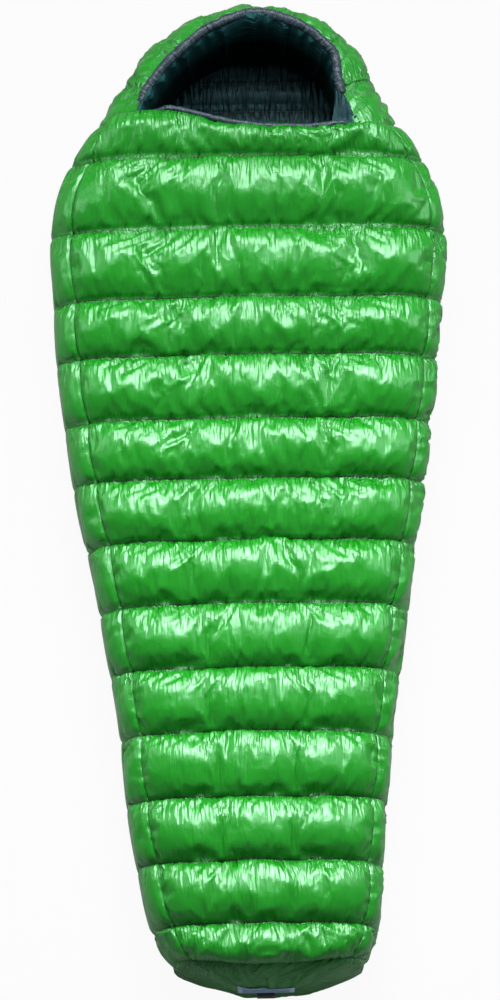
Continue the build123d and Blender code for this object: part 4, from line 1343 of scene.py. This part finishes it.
class BAG_OT_trims(Operator):
    """Make the blank foot label and the hanging loop"""

    bl_idname = "sleeping_bag.trims"
    bl_label = "Label and loop"

    def execute(self, context):
        foot = bpy.data.objects["foot_end_quilt"]
        surface = BVHTree.FromObject(foot, context.evaluated_depsgraph_get())

        def on_foot(x, z, lift):
            hit = surface.ray_cast(Vector((x, -1.3, z)), Vector((0, 1, 0)))
            return Vector((x, hit[0].y - lift, z))

        low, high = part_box("foot_label")
        bm = bmesh.new()
        cloth = bm.loops.layers.uv.new("cloth")
        bmesh.ops.create_grid(bm, x_segments=40, y_segments=14, size=0.5)
        flat = {}
        for v in bm.verts:
            u, w = v.co.x, v.co.y
            flat[v] = (u * (high.x - low.x), w * (high.z - low.z))
            spot = [on_foot(lerp(low.x, high.x, u + 0.5 + du), lerp(low.z, high.z, w + 0.5 + dw), 0.0) for du, dw in ((0, 0), (0.03, 0), (-0.03, 0), (0, 0.1), (0, -0.1))]
            v.co = Vector((spot[0].x, min(p.y for p in spot) - 0.0014, spot[0].z))
            v.co.y += 0.0004 * noise.noise(Vector((u * 14, w * 5, 1)))
        for face in bm.faces:
            for loop in face.loops:
                loop[cloth].uv = flat[loop.vert]
        bmesh.ops.recalc_face_normals(bm, faces=bm.faces[:])
        bmesh.ops.solidify(bm, geom=bm.faces[:], thickness=0.0008)
        bmesh.ops.recalc_face_normals(bm, faces=bm.faces[:])
        piece = mesh_piece("woven_label", bm, ["label_fabric"])
        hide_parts("foot_label")
        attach(piece, "bag")

        low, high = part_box("hang_loop")
        middle = (low.x + high.x) / 2
        top, bottom = on_foot(middle, high.z - 0.002, 0.0), on_foot(middle, low.z + 0.002, 0.0)
        bm = bmesh.new()
        bmesh.ops.create_grid(bm, x_segments=8, y_segments=40, size=0.5)
        for v in bm.verts:
            u, w = v.co.x, v.co.y + 0.5
            reach = 0.0068 * math.sin(math.pi * w) ** 0.5 if 0 < w < 1 else 0.0
            spot = top.lerp(bottom, w)
            v.co = Vector((spot.x + u * (high.x - low.x), spot.y - 0.001 - reach, spot.z))
        bmesh.ops.recalc_face_normals(bm, faces=bm.faces[:])
        bmesh.ops.solidify(bm, geom=bm.faces[:], thickness=0.0014)
        bmesh.ops.recalc_face_normals(bm, faces=bm.faces[:])
        piece = mesh_piece("webbing_loop", bm, ["webbing"])
        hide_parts("hang_loop")
        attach(piece, "hang_loop")
        return {"FINISHED"}


class BAG_OT_finish(Operator):
    """Give the frame's sliders, slider pulls and stops their finishes"""

    bl_idname = "sleeping_bag.finish"
    bl_label = "Finish frame parts"

    def execute(self, context):
        slots = {"slider_pull": "zip_pull", "slider": "zip_metal", "stop": "zip_metal"}
        for name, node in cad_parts.items():
            for key, slot in slots.items():
                if key in name:
                    node.data.materials.clear()
                    node.data.materials.append(finish_of(slot))
                    break
        return {"FINISHED"}


class BAG_OT_stage(Operator):
    """Lay the floor, set the lights and place the camera"""

    bl_idname = "sleeping_bag.stage"
    bl_label = "Stage"

    def execute(self, context):
        scene = context.scene
        settings = scene.bag_stage
        g = Graph("studio floor")
        seen = g.node("ShaderNodeLightPath")
        tone = g.noise(g.here(), 3.0, 2.0)
        g.surface(Base_Color=g.mix(tone, rgba((0.30, 0.30, 0.30)), rgba((0.34, 0.34, 0.34))), Roughness=0.9)
        out = g.tree.nodes["Material Output"]
        glow = g.node("ShaderNodeEmission", {}, {"Color": (1, 1, 1, 1), "Strength": 1.0})[0]
        both = g.node("ShaderNodeMixShader", {}, {0: seen[0] * 0.94, 1: Value(g, g.shader.outputs[0]), 2: glow})[0]
        g.feed(out.inputs[0], both)
        bm = bmesh.new()
        bmesh.ops.create_grid(bm, x_segments=1, y_segments=1, size=30)
        floor = new_piece("floor")
        bm.to_mesh(floor.data)
        bm.free()
        floor.data.materials.append(g.material)

        world = bpy.data.worlds.new("studio")
        scene.world = world
        world.use_nodes = True
        nodes, links = world.node_tree.nodes, world.node_tree.links
        path = nodes.new("ShaderNodeLightPath")
        white = nodes.new("ShaderNodeBackground")
        white.inputs[0].default_value = (1, 1, 1, 1)
        white.inputs[1].default_value = 1.0
        room = nodes["Background"]
        room.inputs[0].default_value = (0.92, 0.96, 0.96, 1)
        room.inputs[1].default_value = 0.25
        mix = nodes.new("ShaderNodeMixShader")
        links.new(path.outputs["Is Camera Ray"], mix.inputs[0])
        links.new(room.outputs[0], mix.inputs[1])
        links.new(white.outputs[0], mix.inputs[2])
        links.new(mix.outputs[0], nodes["World Output"].inputs[0])

        aim = Vector((0, 0.1, 0.12))
        for name, place, size, power, spread in (
            ("head softbox", (0.2, 3.3, 2.9), (3.2, 2.4), 176, 180),
            ("left softbox", (-3.0, 1.2, 1.7), (1.4, 2.6), 30, 180),
            ("right softbox", (3.0, 1.0, 1.9), (1.4, 2.6), 40, 180),
            ("leg softbox", (0.2, 1.7, 3.2), (3.0, 1.6), 32, 52),
        ):
            lamp = bpy.data.lights.new(name, "AREA")
            lamp.shape = "RECTANGLE"
            lamp.size, lamp.size_y = size
            lamp.energy = power
            lamp.spread = math.radians(spread)
            holder = bpy.data.objects.new(name, lamp)
            scene.collection.objects.link(holder)
            holder.location = place
            target = aim if spread == 180 else Vector((0, -0.8, 0.12))
            holder.rotation_euler = (target - Vector(place)).to_track_quat("-Z", "Y").to_euler()

        camera = bpy.data.cameras.new("camera")
        holder = bpy.data.objects.new("camera", camera)
        scene.collection.objects.link(holder)
        scene.camera = holder
        camera.lens = camera.sensor_width * settings.distance / settings.view_height
        target = Vector((-0.006, 0.0, 0.12))
        back = Vector((0, -math.cos(settings.elevation), math.sin(settings.elevation)))
        look = (-back).to_track_quat("-Z", "Y").to_matrix() @ Matrix.Rotation(settings.roll, 3, "Z")
        holder.matrix_world = Matrix.Translation(target + back * settings.distance) @ look.to_4x4()
        scene.view_settings.view_transform = "Standard"
        return {"FINISHED"}


class BAG_PT_panel(Panel):
    """Sizes, colours and build steps of the sleeping bag"""

    bl_label = "Sleeping Bag"
    bl_idname = "BAG_PT_panel"
    bl_space_type = "VIEW_3D"
    bl_region_type = "UI"
    bl_category = "Sleeping Bag"

    def draw(self, context):
        layout = self.layout
        for name in ("bag_quilt", "bag_colours", "bag_stage"):
            group = getattr(context.scene, name)
            box = layout.box()
            for key in type(group).__annotations__:
                box.prop(group, key)
        for step in STEPS:
            layout.operator(step.bl_idname)


STEPS = (
    BAG_OT_front,
    BAG_OT_sides,
    BAG_OT_back,
    BAG_OT_foot,
    BAG_OT_hood,
    BAG_OT_rim,
    BAG_OT_neck_hem,
    BAG_OT_zip,
    BAG_OT_draft_tube,
    BAG_OT_trims,
    BAG_OT_finish,
    BAG_OT_stage,
)
CLASSES = (QuiltSettings, ShellSettings, StageSettings, *STEPS, BAG_PT_panel)
GROUPS = {"bag_quilt": QuiltSettings, "bag_colours": ShellSettings, "bag_stage": StageSettings}


def register():
    for cls in CLASSES:
        bpy.utils.register_class(cls)
    for name, group in GROUPS.items():
        setattr(bpy.types.Scene, name, PointerProperty(type=group))


def unregister():
    for name in GROUPS:
        delattr(bpy.types.Scene, name)
    for cls in reversed(CLASSES):
        bpy.utils.unregister_class(cls)


def main():
    register()
    for step in STEPS:
        family, name = step.bl_idname.split(".")
        getattr(getattr(bpy.ops, family), name)()


if __name__ == "__main__":
    main()
